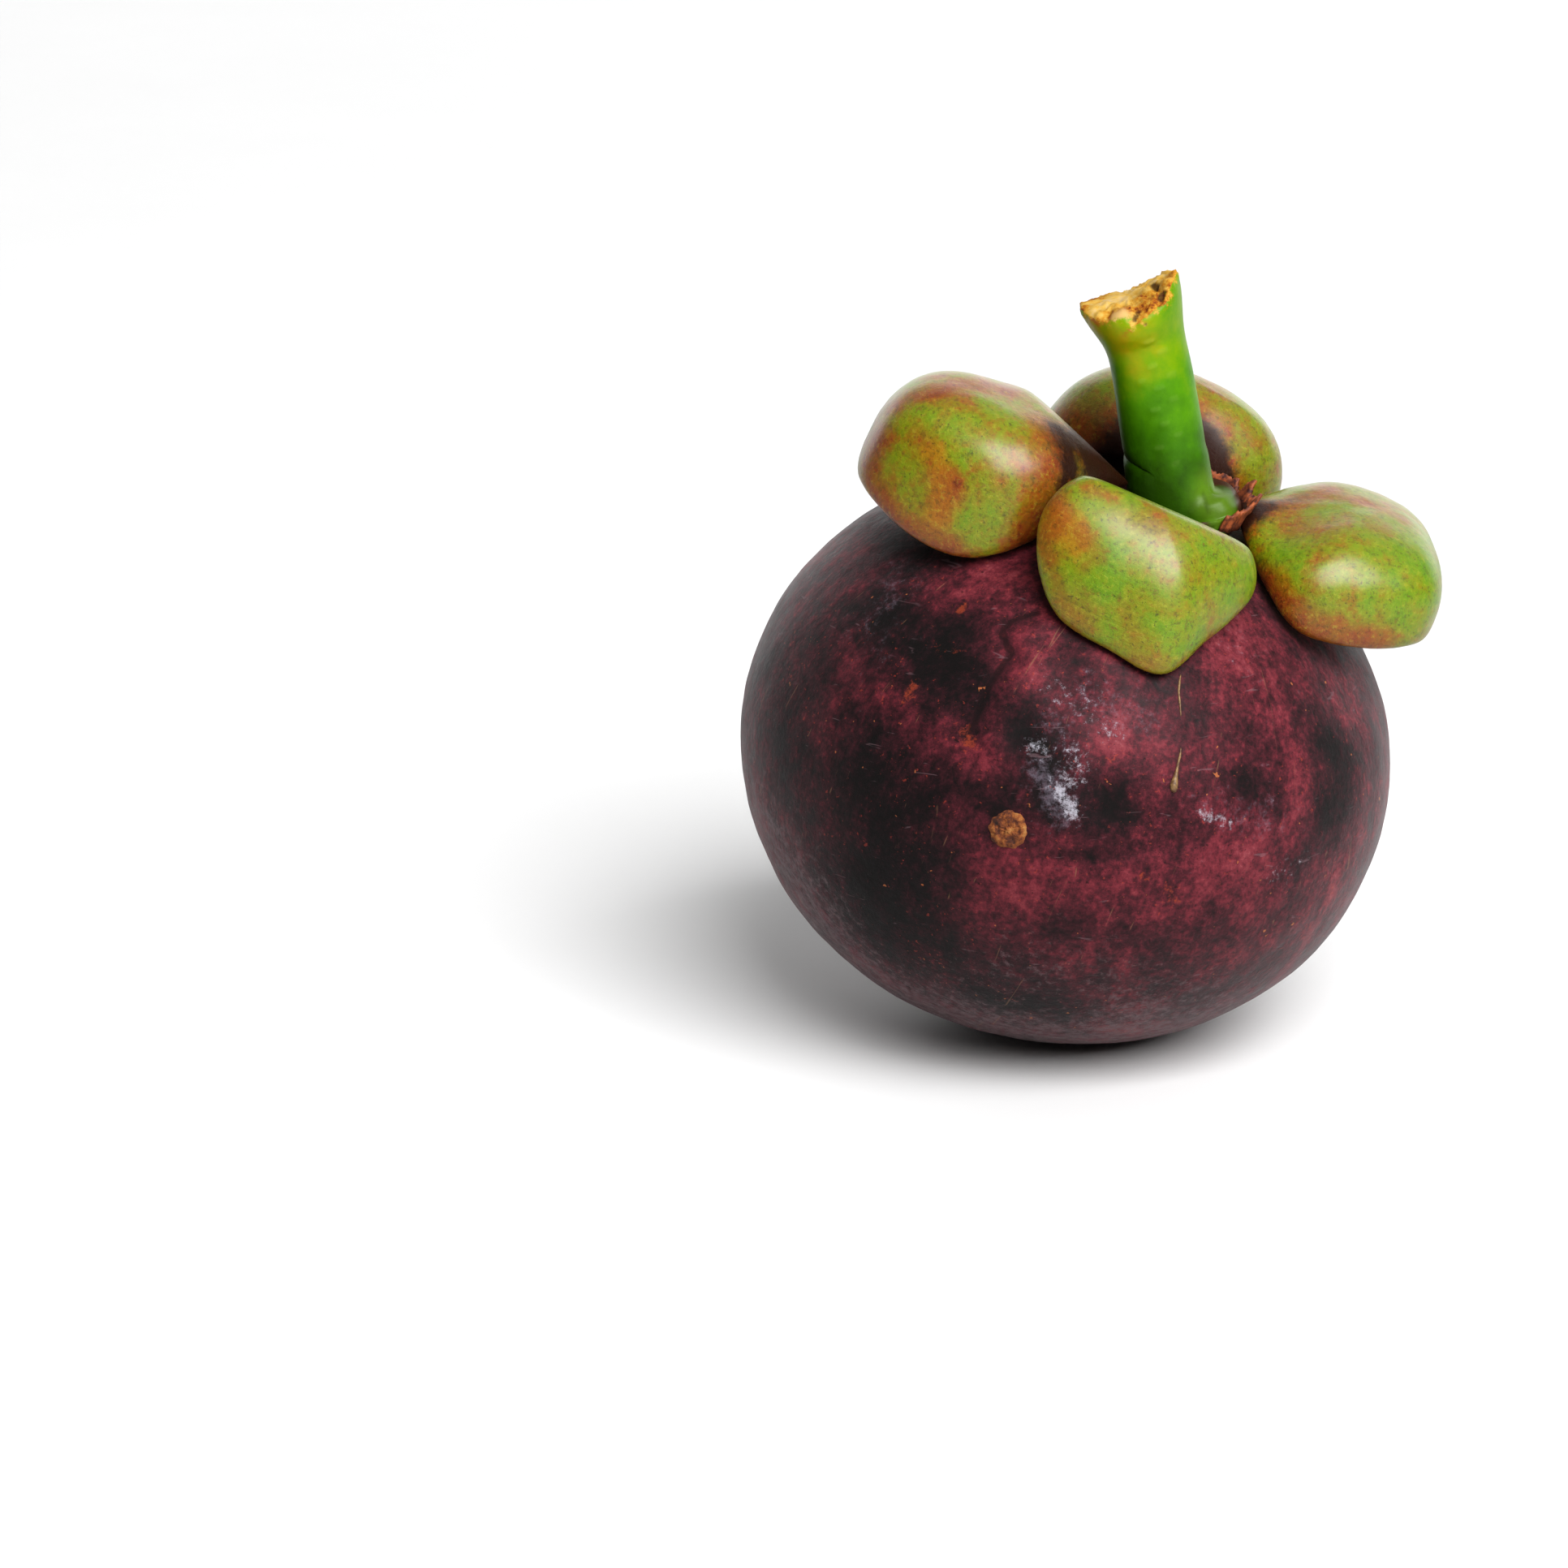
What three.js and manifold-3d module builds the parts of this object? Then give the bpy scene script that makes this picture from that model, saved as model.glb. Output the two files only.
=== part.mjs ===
// A whole mangosteen as picked: the rind, the stem with its receptacle, the four fleshy sepals of the
// calyx and the woody stigma rosette at the blossom end. Millimetres, +Z up. The fruit stands on a small
// flat spot worn into its rind, whose centre is the origin, and its stem end leans to +X and -Y.
import * as THREE from "three";
import Module from "manifold-3d";

const wasm = await Module();
wasm.setup();

const DEG = THREE.MathUtils.DEG2RAD;

// ---- Driving dimensions -------------------------------------------------------------------------
const EQUATOR_RADIUS = 30; // half of the fruit's width
const POLE_RADIUS = 26; // half of its height, without the calyx
const FLATTENED_LEAN = 10.5 * DEG; // the flattened axis leans this far from the stem's line, to -X
const STEM_END_LEAN_X = 20.5 * DEG; // how far the stem's line leans from upright, to +X
const STEM_END_LEAN_Y = 8 * DEG; // and to -Y
const FLAT_SPOT_DEPTH = 0.35; // how much of the rind's lowest point is flat
const GAP = 0.3; // room left between pieces that touch

const RIND_ROWS = 42;
const RIND_COLUMNS = 64;

// Broad swellings and hollows of the rind: azimuth and polar angle from the stem in degrees, how far
// each spreads in degrees, and its height.
const LUMPS = [
  { azimuth: 250, polar: 75, spread: 30, height: 0.25 },
  { azimuth: 222, polar: 62, spread: 14, height: -0.35 },
  { azimuth: 310, polar: 100, spread: 32, height: 0.3 },
  { azimuth: 60, polar: 95, spread: 40, height: 0.35 },
  { azimuth: 178, polar: 82, spread: 28, height: 0.2 },
  { azimuth: 322, polar: 38, spread: 18, height: -0.8 },
  { azimuth: 180, polar: 160, spread: 30, height: 0.6 },
];

const STEM_DIMPLE = { depth: 1.7, spread: 19 * DEG };
const STIGMA_SEAT = { depth: 1.2, radius: 6.9, edge: 1.4 };

const STIGMA = { lobes: 6, radius: 6.2, notch: 0.34, thickness: 1.2, rings: 7, columns: 60 };

// The receptacle that carries the sepals: [radius, height over the calyx's foot], from below.
const RECEPTACLE = [[3.4, 0.55], [5.3, 0.6], [6.1, 1.4], [6.2, 3.0], [6.0, 4.0], [5.3, 4.6], [4.5, 4.9]];
const STEM = {
  radius: 3.5,
  flare: 0.37,
  sides: 28,
  stations: 13,
  pith: 0.7, // depth of the hollow in the cut end
  snap: { front: 2.6, back: 1.3, reach: 6.5 }, // how far the broken end falls short at its front and back
  line: [
    [-1.5, 0.3, 4.9], [-2.9, 0.5, 7.4], [-4.6, 0.8, 10.2],
    [-6.5, 1.3, 13.2], [-8.5, 1.9, 15.9], [-11.0, 2.6, 18.7],
  ],
};

// The sepals: azimuth round the stem from +X in degrees, the crown of the hood, how full its arc is, how
// narrow and how deep the pinch at its neck, and its margin from the middle of the base once round. Points
// are [outward from the stem, sideways, height over the calyx's foot].
const SEPALS = [
  {
    name: "sepal_right", azimuth: 2, crown: [18.2, 0, 7.6], fullness: 2.9, neck: 3, pinch: 0.6, margin: [
      [6.7, 0, 3.2], [8.2, 4.6, 2.0], [13.0, 9.6, -0.6], [19.0, 11.0, -1.6], [24.2, 7.8, -0.8],
      [25.7, 0, -0.2], [24.4, -8.4, -0.1], [19.0, -11.4, -1.2], [12.0, -11.6, -1.6], [8.2, -7.6, 0.4],
    ],
  },
  {
    name: "sepal_back", azimuth: 94, crown: [15.5, -1.8, 8.3], fullness: 2.6, neck: 3, pinch: 0.8, margin: [
      [6.7, 0, 3.2], [8.2, 4.8, 1.6], [11.8, 9.2, -0.8], [16.5, 10.2, -3.4], [21.4, 7.2, -5.0],
      [23.8, -0.6, -5.6], [21.4, -9.2, -5.0], [16.5, -13.3, -3.0], [11.4, -12.3, -1.0], [8.2, -5.8, 1.6],
    ],
  },
  {
    name: "sepal_left", azimuth: 189, crown: [17.6, 0, 6.9], fullness: 3.2, neck: 3, pinch: 0.15, margin: [
      [6.7, 0, 3.2], [8.8, 4.8, 1.5], [12.8, 8.0, -1.8], [17.2, 9.5, -4.2], [22.4, 7.8, -5.6],
      [28.6, 0.6, -4.2], [25.6, -8.8, -4.2], [18.0, -10.6, -3.4], [12.4, -9.0, -1.2], [8.8, -5.0, 1.4],
    ],
  },
  {
    name: "sepal_front", azimuth: 264, crown: [12.2, -4.8, 7.4], fullness: 2.3, neck: 4, pinch: 1, margin: [
      [6.7, 0, 2.8], [7.9, 5.2, 1.6], [11.2, 8.6, 1.0], [14.8, 7.8, -0.8], [18.4, 5.8, -2.9],
      [22.1, 3.1, -5.6], [21.6, -2.2, -5.3], [19.9, -8.4, -4.2], [15.9, -12.0, 1.2], [9.8, -8.6, 3.8],
    ],
  },
];
const SEPAL = { thickness: 2.4, marginThickness: 1.2, rings: 9, sides: 36 };

// ---- Shared shapes ------------------------------------------------------------------------------
const UP = new THREE.Vector3(0, 0, 1);
const FLATTENED_AXIS = new THREE.Vector3(-Math.sin(FLATTENED_LEAN), 0, Math.cos(FLATTENED_LEAN));

function direction(azimuth, polar) {
  return new THREE.Vector3(
    Math.sin(polar) * Math.cos(azimuth),
    Math.sin(polar) * Math.sin(azimuth),
    Math.cos(polar),
  );
}

const lumps = LUMPS.map((l) => ({ ...l, towards: direction(l.azimuth * DEG, l.polar * DEG) }));

// Distance from the fruit's centre to the rind's skin along a unit vector, in the stem's frame.
function rindRadius(towards) {
  const along = towards.dot(FLATTENED_AXIS);
  let r = 1 / Math.sqrt((1 - along ** 2) / EQUATOR_RADIUS ** 2 + along ** 2 / POLE_RADIUS ** 2);
  for (const lump of lumps) {
    const away = towards.angleTo(lump.towards) / (lump.spread * DEG);
    r += lump.height * Math.exp(-(away ** 2));
  }
  const fromStem = Math.acos(THREE.MathUtils.clamp(towards.z, -1, 1));
  r -= STEM_DIMPLE.depth * Math.exp(-((fromStem / STEM_DIMPLE.spread) ** 2));
  const fromStigma = (Math.PI - fromStem) * POLE_RADIUS;
  const { depth, radius, edge } = STIGMA_SEAT;
  r -= depth * (1 - THREE.MathUtils.smoothstep(fromStigma, radius - edge, radius + edge));
  return r;
}

const STEM_END_Z = rindRadius(new THREE.Vector3(0, 0, 1)); // height of the calyx over the centre

// A closed geometry from rings of points, each ring in the same order, with a point at both ends.
function loft(start, rings, end) {
  const points = [start, ...rings.flat(), end];
  const sides = rings[0].length;
  const faces = [];
  const at = (ring, i) => 1 + ring * sides + (i % sides);
  for (let i = 0; i < sides; i++) {
    faces.push(0, at(0, i + 1), at(0, i));
    faces.push(points.length - 1, at(rings.length - 1, i), at(rings.length - 1, i + 1));
    for (let ring = 0; ring + 1 < rings.length; ring++) {
      faces.push(at(ring, i), at(ring, i + 1), at(ring + 1, i + 1));
      faces.push(at(ring, i), at(ring + 1, i + 1), at(ring + 1, i));
    }
  }
  return new THREE.BufferGeometry()
    .setAttribute("position", new THREE.Float32BufferAttribute(points.flatMap((p) => p.toArray()), 3))
    .setIndex(faces);
}

function piece(name, geometry, colour, roughness) {
  geometry.computeVertexNormals();
  const material = new THREE.MeshStandardMaterial({ color: colour, roughness, metalness: 0 });
  const mesh = new THREE.Mesh(geometry, material);
  mesh.name = name;
  return mesh;
}

// ---- The rind -----------------------------------------------------------------------------------
function rindGeometry() {
  const pole = (sign) => {
    const towards = new THREE.Vector3(0, 0, sign);
    return towards.clone().multiplyScalar(rindRadius(towards));
  };
  const rings = [];
  for (let row = 1; row < RIND_ROWS; row++) {
    const polar = Math.PI * (1 - row / RIND_ROWS);
    rings.push(
      Array.from({ length: RIND_COLUMNS }, (_, column) => {
        const towards = direction((2 * Math.PI * column) / RIND_COLUMNS, polar);
        return towards.multiplyScalar(rindRadius(towards));
      }),
    );
  }
  return loft(pole(-1), rings, pole(1));
}

// ---- The stigma rosette -------------------------------------------------------------------------
// Woody wedges that lie in a shallow seat round the blossom end, joined at the middle.
function stigmaGeometry() {
  const { lobes, radius, notch, thickness, rings: count, columns } = STIGMA;
  const skin = (share, azimuth, height) => {
    const lobe = Math.abs(Math.cos((lobes * azimuth) / 2)); // 1 along a lobe, 0 between two
    const reach = radius * (1 - notch * (1 - lobe ** 0.7));
    const towards = direction(azimuth, Math.PI - (share * reach) / POLE_RADIUS);
    const swell = 0.45 + 0.55 * lobe ** 0.8 * Math.sin(Math.PI * Math.min(1, share + 0.12)) ** 0.5;
    return towards.multiplyScalar(rindRadius(towards) + GAP + height * thickness * swell);
  };
  const ring = (share, height) =>
    Array.from({ length: columns }, (_, i) => skin(share, (-2 * Math.PI * i) / columns, height));
  const shares = Array.from({ length: count }, (_, i) => (i + 1) / count);
  const under = shares.map((share) => ring(share, 0));
  const over = [...shares].reverse().map((share) => ring(share * 0.985, share > 0.99 ? 0.55 : 1));
  return loft(skin(0, 0, 0), [...under, ...over], skin(0, 0, 0.75));
}

// ---- The stem and its receptacle ----------------------------------------------------------------
// A ring of points round a centre, square to the way ahead.
function ringRound(centre, ahead, radius, sides) {
  const side = new THREE.Vector3(0, 1, 0).cross(ahead).normalize();
  const other = new THREE.Vector3().crossVectors(ahead, side);
  return Array.from({ length: sides }, (_, i) => {
    const a = (2 * Math.PI * i) / sides;
    return centre.clone().addScaledVector(side, radius * Math.cos(a)).addScaledVector(other, radius * Math.sin(a));
  });
}

// Lets the end of the stem fall short towards its front and back, as where it was snapped off.
function snapped(point, end, out, wide, { front, back, reach }) {
  const sideways = (point.y - end.y) / wide;
  const short = (sideways < 0 ? front : back) * Math.min(1, sideways ** 2);
  const behind = end.clone().sub(point).dot(out);
  const hold = 1 - THREE.MathUtils.smoothstep(behind, 0, reach);
  return point.addScaledVector(out, -short * hold);
}

function stemGeometry() {
  const { radius, flare, sides, stations, pith, snap, line } = STEM;
  const rings = RECEPTACLE.map(([r, z]) => ringRound(new THREE.Vector3(0, 0, z), UP, r, sides));
  const curve = new THREE.CatmullRomCurve3(line.map((p) => new THREE.Vector3(...p)));
  for (let k = 1; k <= stations; k++) {
    const t = k / stations;
    const wide = radius * (1 + flare * THREE.MathUtils.smoothstep(t, 0.7, 1));
    rings.push(ringRound(curve.getPoint(t), curve.getTangent(t), wide, sides));
  }
  const end = curve.getPoint(1);
  const out = curve.getTangent(1);
  const wide = radius * (1 + flare);
  rings.push(ringRound(end.clone().addScaledVector(out, 0.25), out, wide * 0.93, sides));
  rings.push(ringRound(end.clone().addScaledVector(out, -0.3 * pith), out, wide * 0.5, sides));
  rings.slice(RECEPTACLE.length).forEach((ring) => ring.forEach((point) => snapped(point, end, out, wide, snap)));
  return loft(new THREE.Vector3(0, 0, RECEPTACLE[0][1]), rings, end.clone().addScaledVector(out, -pith));
}

// ---- The sepals ---------------------------------------------------------------------------------
// Moves a point of a sepal out along its line from the fruit's centre, until it clears the rind.
function clearOfRind(point, azimuth, clearance) {
  const spun = point.clone().applyAxisAngle(UP, azimuth * DEG);
  spun.z += STEM_END_Z;
  const least = rindRadius(spun.clone().normalize()) + clearance;
  if (spun.length() >= least) return point;
  spun.setLength(least);
  spun.z -= STEM_END_Z;
  return spun.applyAxisAngle(UP, -azimuth * DEG);
}

// How far across and down from the crown the skin of a sepal is, both from 0 to 1: a full round arc
// towards the margin, and a gentle double curve towards the neck at the base.
function hoodArc(share, fullness, nearBase) {
  const turn = (share * Math.PI) / 2;
  const arc = [Math.sin(turn) ** (2 / fullness), 1 - Math.cos(turn) ** (2 / fullness)];
  const neck = [Math.sin(turn), 0.5 - 0.5 * Math.cos(Math.PI * Math.sin(turn))];
  return arc.map((value, i) => THREE.MathUtils.lerp(value, neck[i], nearBase));
}

// A sepal is a thick hood, open below, whose inside follows its skin one thickness further in.
function sepalGeometry({ azimuth, crown, fullness, neck, pinch, margin }) {
  const { thickness, marginThickness, rings: count, sides } = SEPAL;
  const edge = new THREE.CatmullRomCurve3(margin.map((p) => new THREE.Vector3(...p)), true);
  const feet = Array.from({ length: sides }, (_, i) => edge.getPoint(i / sides));
  const top = new THREE.Vector3(...crown);
  const skin = (share, inside) =>
    feet.map((foot, i) => {
      const nearBase = pinch * Math.max(0, Math.cos((2 * Math.PI * i) / sides)) ** neck;
      const [across, down] = hoodArc(share, fullness, nearBase);
      const inward = new THREE.Vector3(top.x - foot.x, top.y - foot.y, 0).normalize();
      const end = foot.clone().addScaledVector(inward, inside * marginThickness);
      const point = top.clone().setZ(0).lerp(end, across);
      point.z = THREE.MathUtils.lerp(top.z - inside * thickness, end.z, down);
      const cover = (1 - inside) * THREE.MathUtils.lerp(thickness, marginThickness, share);
      return clearOfRind(point, azimuth, GAP + 0.75 * cover);
    });
  const shares = Array.from({ length: count }, (_, i) => (i + 1) / count);
  const outer = shares.map((share) => skin(share, 0));
  const inner = [...shares].reverse().map((share) => skin(share, 1));
  const rim = outer.at(-1).map((point, i) => {
    const middle = point.clone().lerp(inner[0][i], 0.5);
    middle.z -= 0.35 * marginThickness;
    return clearOfRind(middle, azimuth, GAP);
  });
  return loft(top, [...outer, rim, ...inner], top.clone().setZ(top.z - thickness));
}

// ---- The flat spot ------------------------------------------------------------------------------
// Keeps what lies above a level height, given in the frame that the holder stands in.
function trimmed(geometry, holder, height) {
  const { Manifold, Mesh } = wasm;
  const solid = new Manifold(
    new Mesh({
      numProp: 3,
      vertProperties: Float32Array.from(geometry.attributes.position.array),
      triVerts: Uint32Array.from(geometry.index.array),
    }),
  );
  const up = new THREE.Vector3(0, 0, 1).transformDirection(holder.matrixWorld.clone().invert());
  const cut = solid.trimByPlane(up.toArray(), height).getMesh();
  return new THREE.BufferGeometry()
    .setAttribute("position", new THREE.Float32BufferAttribute(cut.vertProperties, 3))
    .setIndex([...cut.triVerts]);
}

function flatSpotCentre(mesh, height) {
  const position = mesh.geometry.attributes.position;
  const spot = new THREE.Box3();
  for (let i = 0; i < position.count; i++) {
    const point = new THREE.Vector3().fromBufferAttribute(position, i).applyMatrix4(mesh.matrixWorld);
    if (point.z < height + 1e-3) spot.expandByPoint(point);
  }
  return spot.getCenter(new THREE.Vector3());
}

// ---- The fruit, leaning as it stands -------------------------------------------------------------
const fruit = new THREE.Group();
fruit.rotation.set(STEM_END_LEAN_Y, STEM_END_LEAN_X, 0);

fruit.add(piece("rind", rindGeometry(), 0x4a1c28, 0.45));
fruit.add(piece("stigma_rosette", stigmaGeometry(), 0x5a4030, 0.8));
const calyx = new THREE.Group();
calyx.position.z = STEM_END_Z;
fruit.add(calyx);
calyx.add(piece("stem", stemGeometry(), 0x4f9a10, 0.35));
for (const sepal of SEPALS) {
  const blade = piece(sepal.name, sepalGeometry(sepal), 0x93a83c, 0.4);
  blade.rotation.z = sepal.azimuth * DEG;
  calyx.add(blade);
}

// The lowest part of the rind is cut flat, and the middle of that flat comes to the origin.
fruit.updateMatrixWorld(true);
const lying = new THREE.Box3().setFromObject(fruit.getObjectByName("rind"), true);
const floor = lying.min.z + FLAT_SPOT_DEPTH;
const rind = fruit.getObjectByName("rind");
rind.geometry = trimmed(rind.geometry, fruit, floor);
const spot = flatSpotCentre(rind, floor);
fruit.position.set(-spot.x, -spot.y, -floor);

const mangosteen = new THREE.Group();
mangosteen.add(fruit);
export default mangosteen;
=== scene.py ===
# %% [markdown]
# # A mangosteen, dressed around its solids
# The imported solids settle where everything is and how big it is. Each cell below dresses one part of the
# fruit: its leathery rind, the four fleshy sepals, the green stem with its cut end, and the woody rosette
# underneath. All sizes are metres, and `MM` turns a size in millimetres into metres.

# %% The frame
import math
import random

import bpy
import numpy as np
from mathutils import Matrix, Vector, noise
from mathutils.bvhtree import BVHTree


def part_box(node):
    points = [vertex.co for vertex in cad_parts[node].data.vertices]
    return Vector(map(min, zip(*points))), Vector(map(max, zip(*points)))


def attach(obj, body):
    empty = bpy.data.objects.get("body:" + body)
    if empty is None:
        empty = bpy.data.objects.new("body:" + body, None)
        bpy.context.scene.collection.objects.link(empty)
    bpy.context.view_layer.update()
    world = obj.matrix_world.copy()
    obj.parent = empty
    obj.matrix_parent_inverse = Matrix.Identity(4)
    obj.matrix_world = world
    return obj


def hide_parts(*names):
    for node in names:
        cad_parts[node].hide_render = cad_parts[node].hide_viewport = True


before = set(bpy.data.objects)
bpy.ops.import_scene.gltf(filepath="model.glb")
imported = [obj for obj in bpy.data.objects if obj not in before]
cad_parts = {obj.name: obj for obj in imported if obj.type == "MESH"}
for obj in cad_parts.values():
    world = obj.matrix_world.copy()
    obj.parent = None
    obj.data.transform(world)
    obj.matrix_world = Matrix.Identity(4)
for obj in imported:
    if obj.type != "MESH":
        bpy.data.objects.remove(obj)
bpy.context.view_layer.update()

MM = 0.001
scene = bpy.context.scene

# %% [markdown]
# ## The camera
# A long lens far away keeps the fruit's proportions true, as in a small still life. It looks down a little,
# so that the tops of the sepals show. The fruit stands right of the middle.

# %% Camera
FRAME_PX = 1932  # the picture is square, this many pixels a side
CAMERA_AT, CAMERA_TILT = (-0.02732, -0.51816, 0.18143), math.radians(73)
LENS_MM, SENSOR_MM = 135, 36

bpy.ops.object.camera_add(location=CAMERA_AT, rotation=(CAMERA_TILT, 0, 0))
camera = bpy.context.object
camera.data.lens, camera.data.sensor_width = LENS_MM, SENSOR_MM
camera.data.clip_start, camera.data.clip_end = 0.01, 20
scene.camera = camera


def sight(across, down):
    """The start and direction of the camera's ray through a point of its picture, in pixels from top left."""
    per_pixel = camera.data.sensor_width / camera.data.lens / FRAME_PX
    ahead = Vector(((across - FRAME_PX / 2) * per_pixel, (FRAME_PX / 2 - down) * per_pixel, -1))
    return camera.location.copy(), (camera.rotation_euler.to_matrix() @ ahead).normalized()


print("camera at", tuple(camera.location), "middle of the view:", tuple(sight(FRAME_PX / 2, FRAME_PX / 2)[1]))

# %% [markdown]
# ## Light and floor
# Fruit on a white table in a white studio. A big soft box, high in front on the right, draws the broad sheen
# on the sepals, leaves the fruit's left side deep in colour and keeps the shadow on the table narrow. A low
# white wall glows behind, which the rind mirrors where it turns away, so its outline turns silvery. Weak
# light from overhead fills the shadows a little. The standard view keeps the hues as they are mixed, and its
# medium-high-contrast look gives deep darks and a table that is plainly white.

# %% Light and floor
SURROUND = 0.08  # brightness of the room itself
OVERHEAD_POWER, OVERHEAD_SPREAD = 0.6, math.radians(110)
OVERHEAD_TURN = math.radians(-8), math.radians(4), 0
AIM = Vector((0, 0, 0.04))  # in the middle of the fruit
LAMPS = {  # where each stands in m, its width and height in m, its power in W
    "soft_box": ((0.49, -0.99, 1.08), (1.25, 1.05), 46),
    "white_wall": ((0.1, 1.1, 0.22), (3.2, 0.8), 12.5),
}
TABLE_SIDE, TABLE_GAP = 8, 0.02 * MM  # the gap keeps its face apart from the fruit's flat spot

scene.view_settings.view_transform = "Standard"
scene.view_settings.look = "Medium High Contrast"
scene.world = bpy.data.worlds.new("white_studio")
scene.world.use_nodes = True
background = scene.world.node_tree.nodes["Background"]
background.inputs["Color"].default_value = (1, 1, 1, 1)
background.inputs["Strength"].default_value = SURROUND

bpy.ops.object.light_add(type="SUN", rotation=OVERHEAD_TURN)
overhead = bpy.context.object
overhead.name = "overhead_lamp"
overhead.data.energy, overhead.data.angle = OVERHEAD_POWER, OVERHEAD_SPREAD
for name, (place, (wide, high), power) in LAMPS.items():
    bpy.ops.object.light_add(type="AREA", location=place)
    lamp = bpy.context.object
    lamp.name = name
    lamp.data.shape, lamp.data.size, lamp.data.size_y, lamp.data.energy = "RECTANGLE", wide, high, power
    lamp.rotation_euler = (lamp.location - AIM).to_track_quat("Z", "Y").to_euler()

bpy.ops.mesh.primitive_plane_add(size=TABLE_SIDE, location=(0, 0, -TABLE_GAP))
floor = bpy.context.object
floor.name = "table_top"

# %% [markdown]
# ## Small helpers
# Blender's operators act on whatever is selected, so `only` selects one piece and nothing else. `settled`
# takes up a mesh that Blender has just added. `rounded_copy` takes a faceted solid, joins its loose
# triangles, pairs them into quads and rounds them with Subdivision Surface: the quickest way to a smooth
# natural form that stays where the solid is.

# %% Selecting, rounding and applying
WELD = 0.002 * MM  # corners nearer to each other than this are one


def only(piece):
    bpy.ops.object.select_all(action="DESELECT")
    piece.select_set(True)
    bpy.context.view_layer.objects.active = piece


def apply(piece, kind, **settings):
    """Adds a modifier with its settings and applies it."""
    only(piece)
    modifier = piece.modifiers.new(kind.lower(), kind)
    for name, value in settings.items():
        setattr(modifier, name, value)
    bpy.ops.object.modifier_apply(modifier=modifier.name)


def settled(name):
    """Names the mesh just added, and lays its place and turn into its vertices."""
    piece = bpy.context.object
    piece.name = name
    bpy.ops.object.transform_apply(location=True, rotation=True, scale=True)
    return piece


def rounded_copy(node_name, piece_name, levels):
    piece = bpy.data.objects.new(piece_name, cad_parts[node_name].data.copy())
    scene.collection.objects.link(piece)
    only(piece)
    bpy.ops.object.mode_set(mode="EDIT")
    bpy.ops.mesh.select_all(action="SELECT")
    bpy.ops.mesh.remove_doubles(threshold=WELD)
    bpy.ops.mesh.tris_convert_to_quads()
    bpy.ops.object.mode_set(mode="OBJECT")
    bpy.ops.mesh.customdata_custom_splitnormals_clear()
    apply(piece, "SUBSURF", levels=levels)
    bpy.ops.object.shade_smooth()
    piece.data.materials.clear()
    return piece


def report(piece):
    size = [round(x / MM, 2) for x in piece.dimensions]
    print(piece.name, "mm:", size, "faces:", len(piece.data.polygons))


# %% [markdown]
# `nearness` tells, for every vertex of a piece, how near it is to a line drawn over the piece as the camera
# sees it: 1 on the line, falling softly to 0 beyond its half width. `press` uses it to sculpt a groove or a
# swelling, `soften` to smooth a ridge, and `paint` to brush a mask on the mesh, which a material then reads
# as an attribute. `flatten` trims what stands over a straight line.

# %% Sculpting and painting by places
RAY_STOP = Vector((0, 0, 45 * MM))  # a ray that misses the skin is followed until it passes this place
FAINTEST = 0.02  # smoothing weaker than this is left out


def points_of(piece):
    flat = np.zeros(len(piece.data.vertices) * 3)
    piece.data.vertices.foreach_get("co", flat)
    return flat.reshape(-1, 3)


def skin_of(piece):
    """The piece's surface as a search tree, which answers where a ray meets it."""
    corners = [vertex.co for vertex in piece.data.vertices]
    return BVHTree.FromPolygons(corners, [face.vertices for face in piece.data.polygons])


def landing(skin, across, down):
    """Where the camera's ray through a point of its picture meets a skin, or passes closest by it, and the
    way out of the skin there."""
    start, ahead = sight(across, down)
    place, outward, _, _ = skin.ray_cast(start, ahead)
    if place is None:
        beside = start + ahead * (RAY_STOP - start).dot(ahead)
        place, outward, _, _ = skin.find_nearest(beside)
    return place, outward


def nearness(points, skin, half_width, line):
    places = [np.array(landing(skin, *point)[0]) for point in line]
    nearest = None
    for start, end in zip(places, places[1:] or places):
        along = end - start
        share = np.clip(((points - start) @ along) / max(along @ along, 1e-12), 0, 1)
        away = np.linalg.norm(points - start - share[:, None] * along, axis=1)
        nearest = away if nearest is None else np.minimum(nearest, away)
    return np.exp(-((nearest / (half_width * MM)) ** 2))


def press(piece, grooves):
    """A groove is its depth and half width in mm and the line it follows. A negative depth is a swelling."""
    skin, points, moved = skin_of(piece), points_of(piece), points_of(piece)
    normals = np.array([v.normal for v in piece.data.vertices])
    for depth, half_width, line in grooves:
        moved -= normals * (depth * MM * nearness(points, skin, half_width, line))[:, None]
    piece.data.vertices.foreach_set("co", moved.ravel())
    piece.data.update()


def soften(piece, rounds, half_width, line):
    """Smooths a ridge that follows the line, and fades out beyond the half width in mm."""
    worth = nearness(points_of(piece), skin_of(piece), half_width, line)
    group = piece.vertex_groups.new(name="softened")
    for index in np.flatnonzero(worth > FAINTEST):
        group.add([int(index)], float(worth[index]), "REPLACE")
    apply(piece, "SMOOTH", factor=0.5, iterations=rounds, vertex_group="softened")
    piece.vertex_groups.clear()


def flatten(piece, left, right, left_over):
    """Draws in what stands over the line from left to right in the camera's picture, until no more than
    `left_over` mm stand over it."""
    start, left_way = sight(*left)
    _, right_way = sight(*right)
    upward = right_way.cross(left_way).normalized()
    for vertex in piece.data.vertices:
        over = (vertex.co - start).dot(upward)
        if over > 0:
            vertex.co += upward * (left_over * MM * (1 - math.exp(-over / (left_over * MM))) - over)


def fade(value, near, far):
    """1 up to near, 0 beyond far, and smooth between."""
    share = np.clip((far - value) / (far - near), 0, 1)
    return share * share * (3 - 2 * share)


def keep_mask(piece, mask, worth):
    made = piece.data.attributes.new(mask, "FLOAT", "POINT")
    made.data.foreach_set("value", np.asarray(worth, np.float32))


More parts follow.
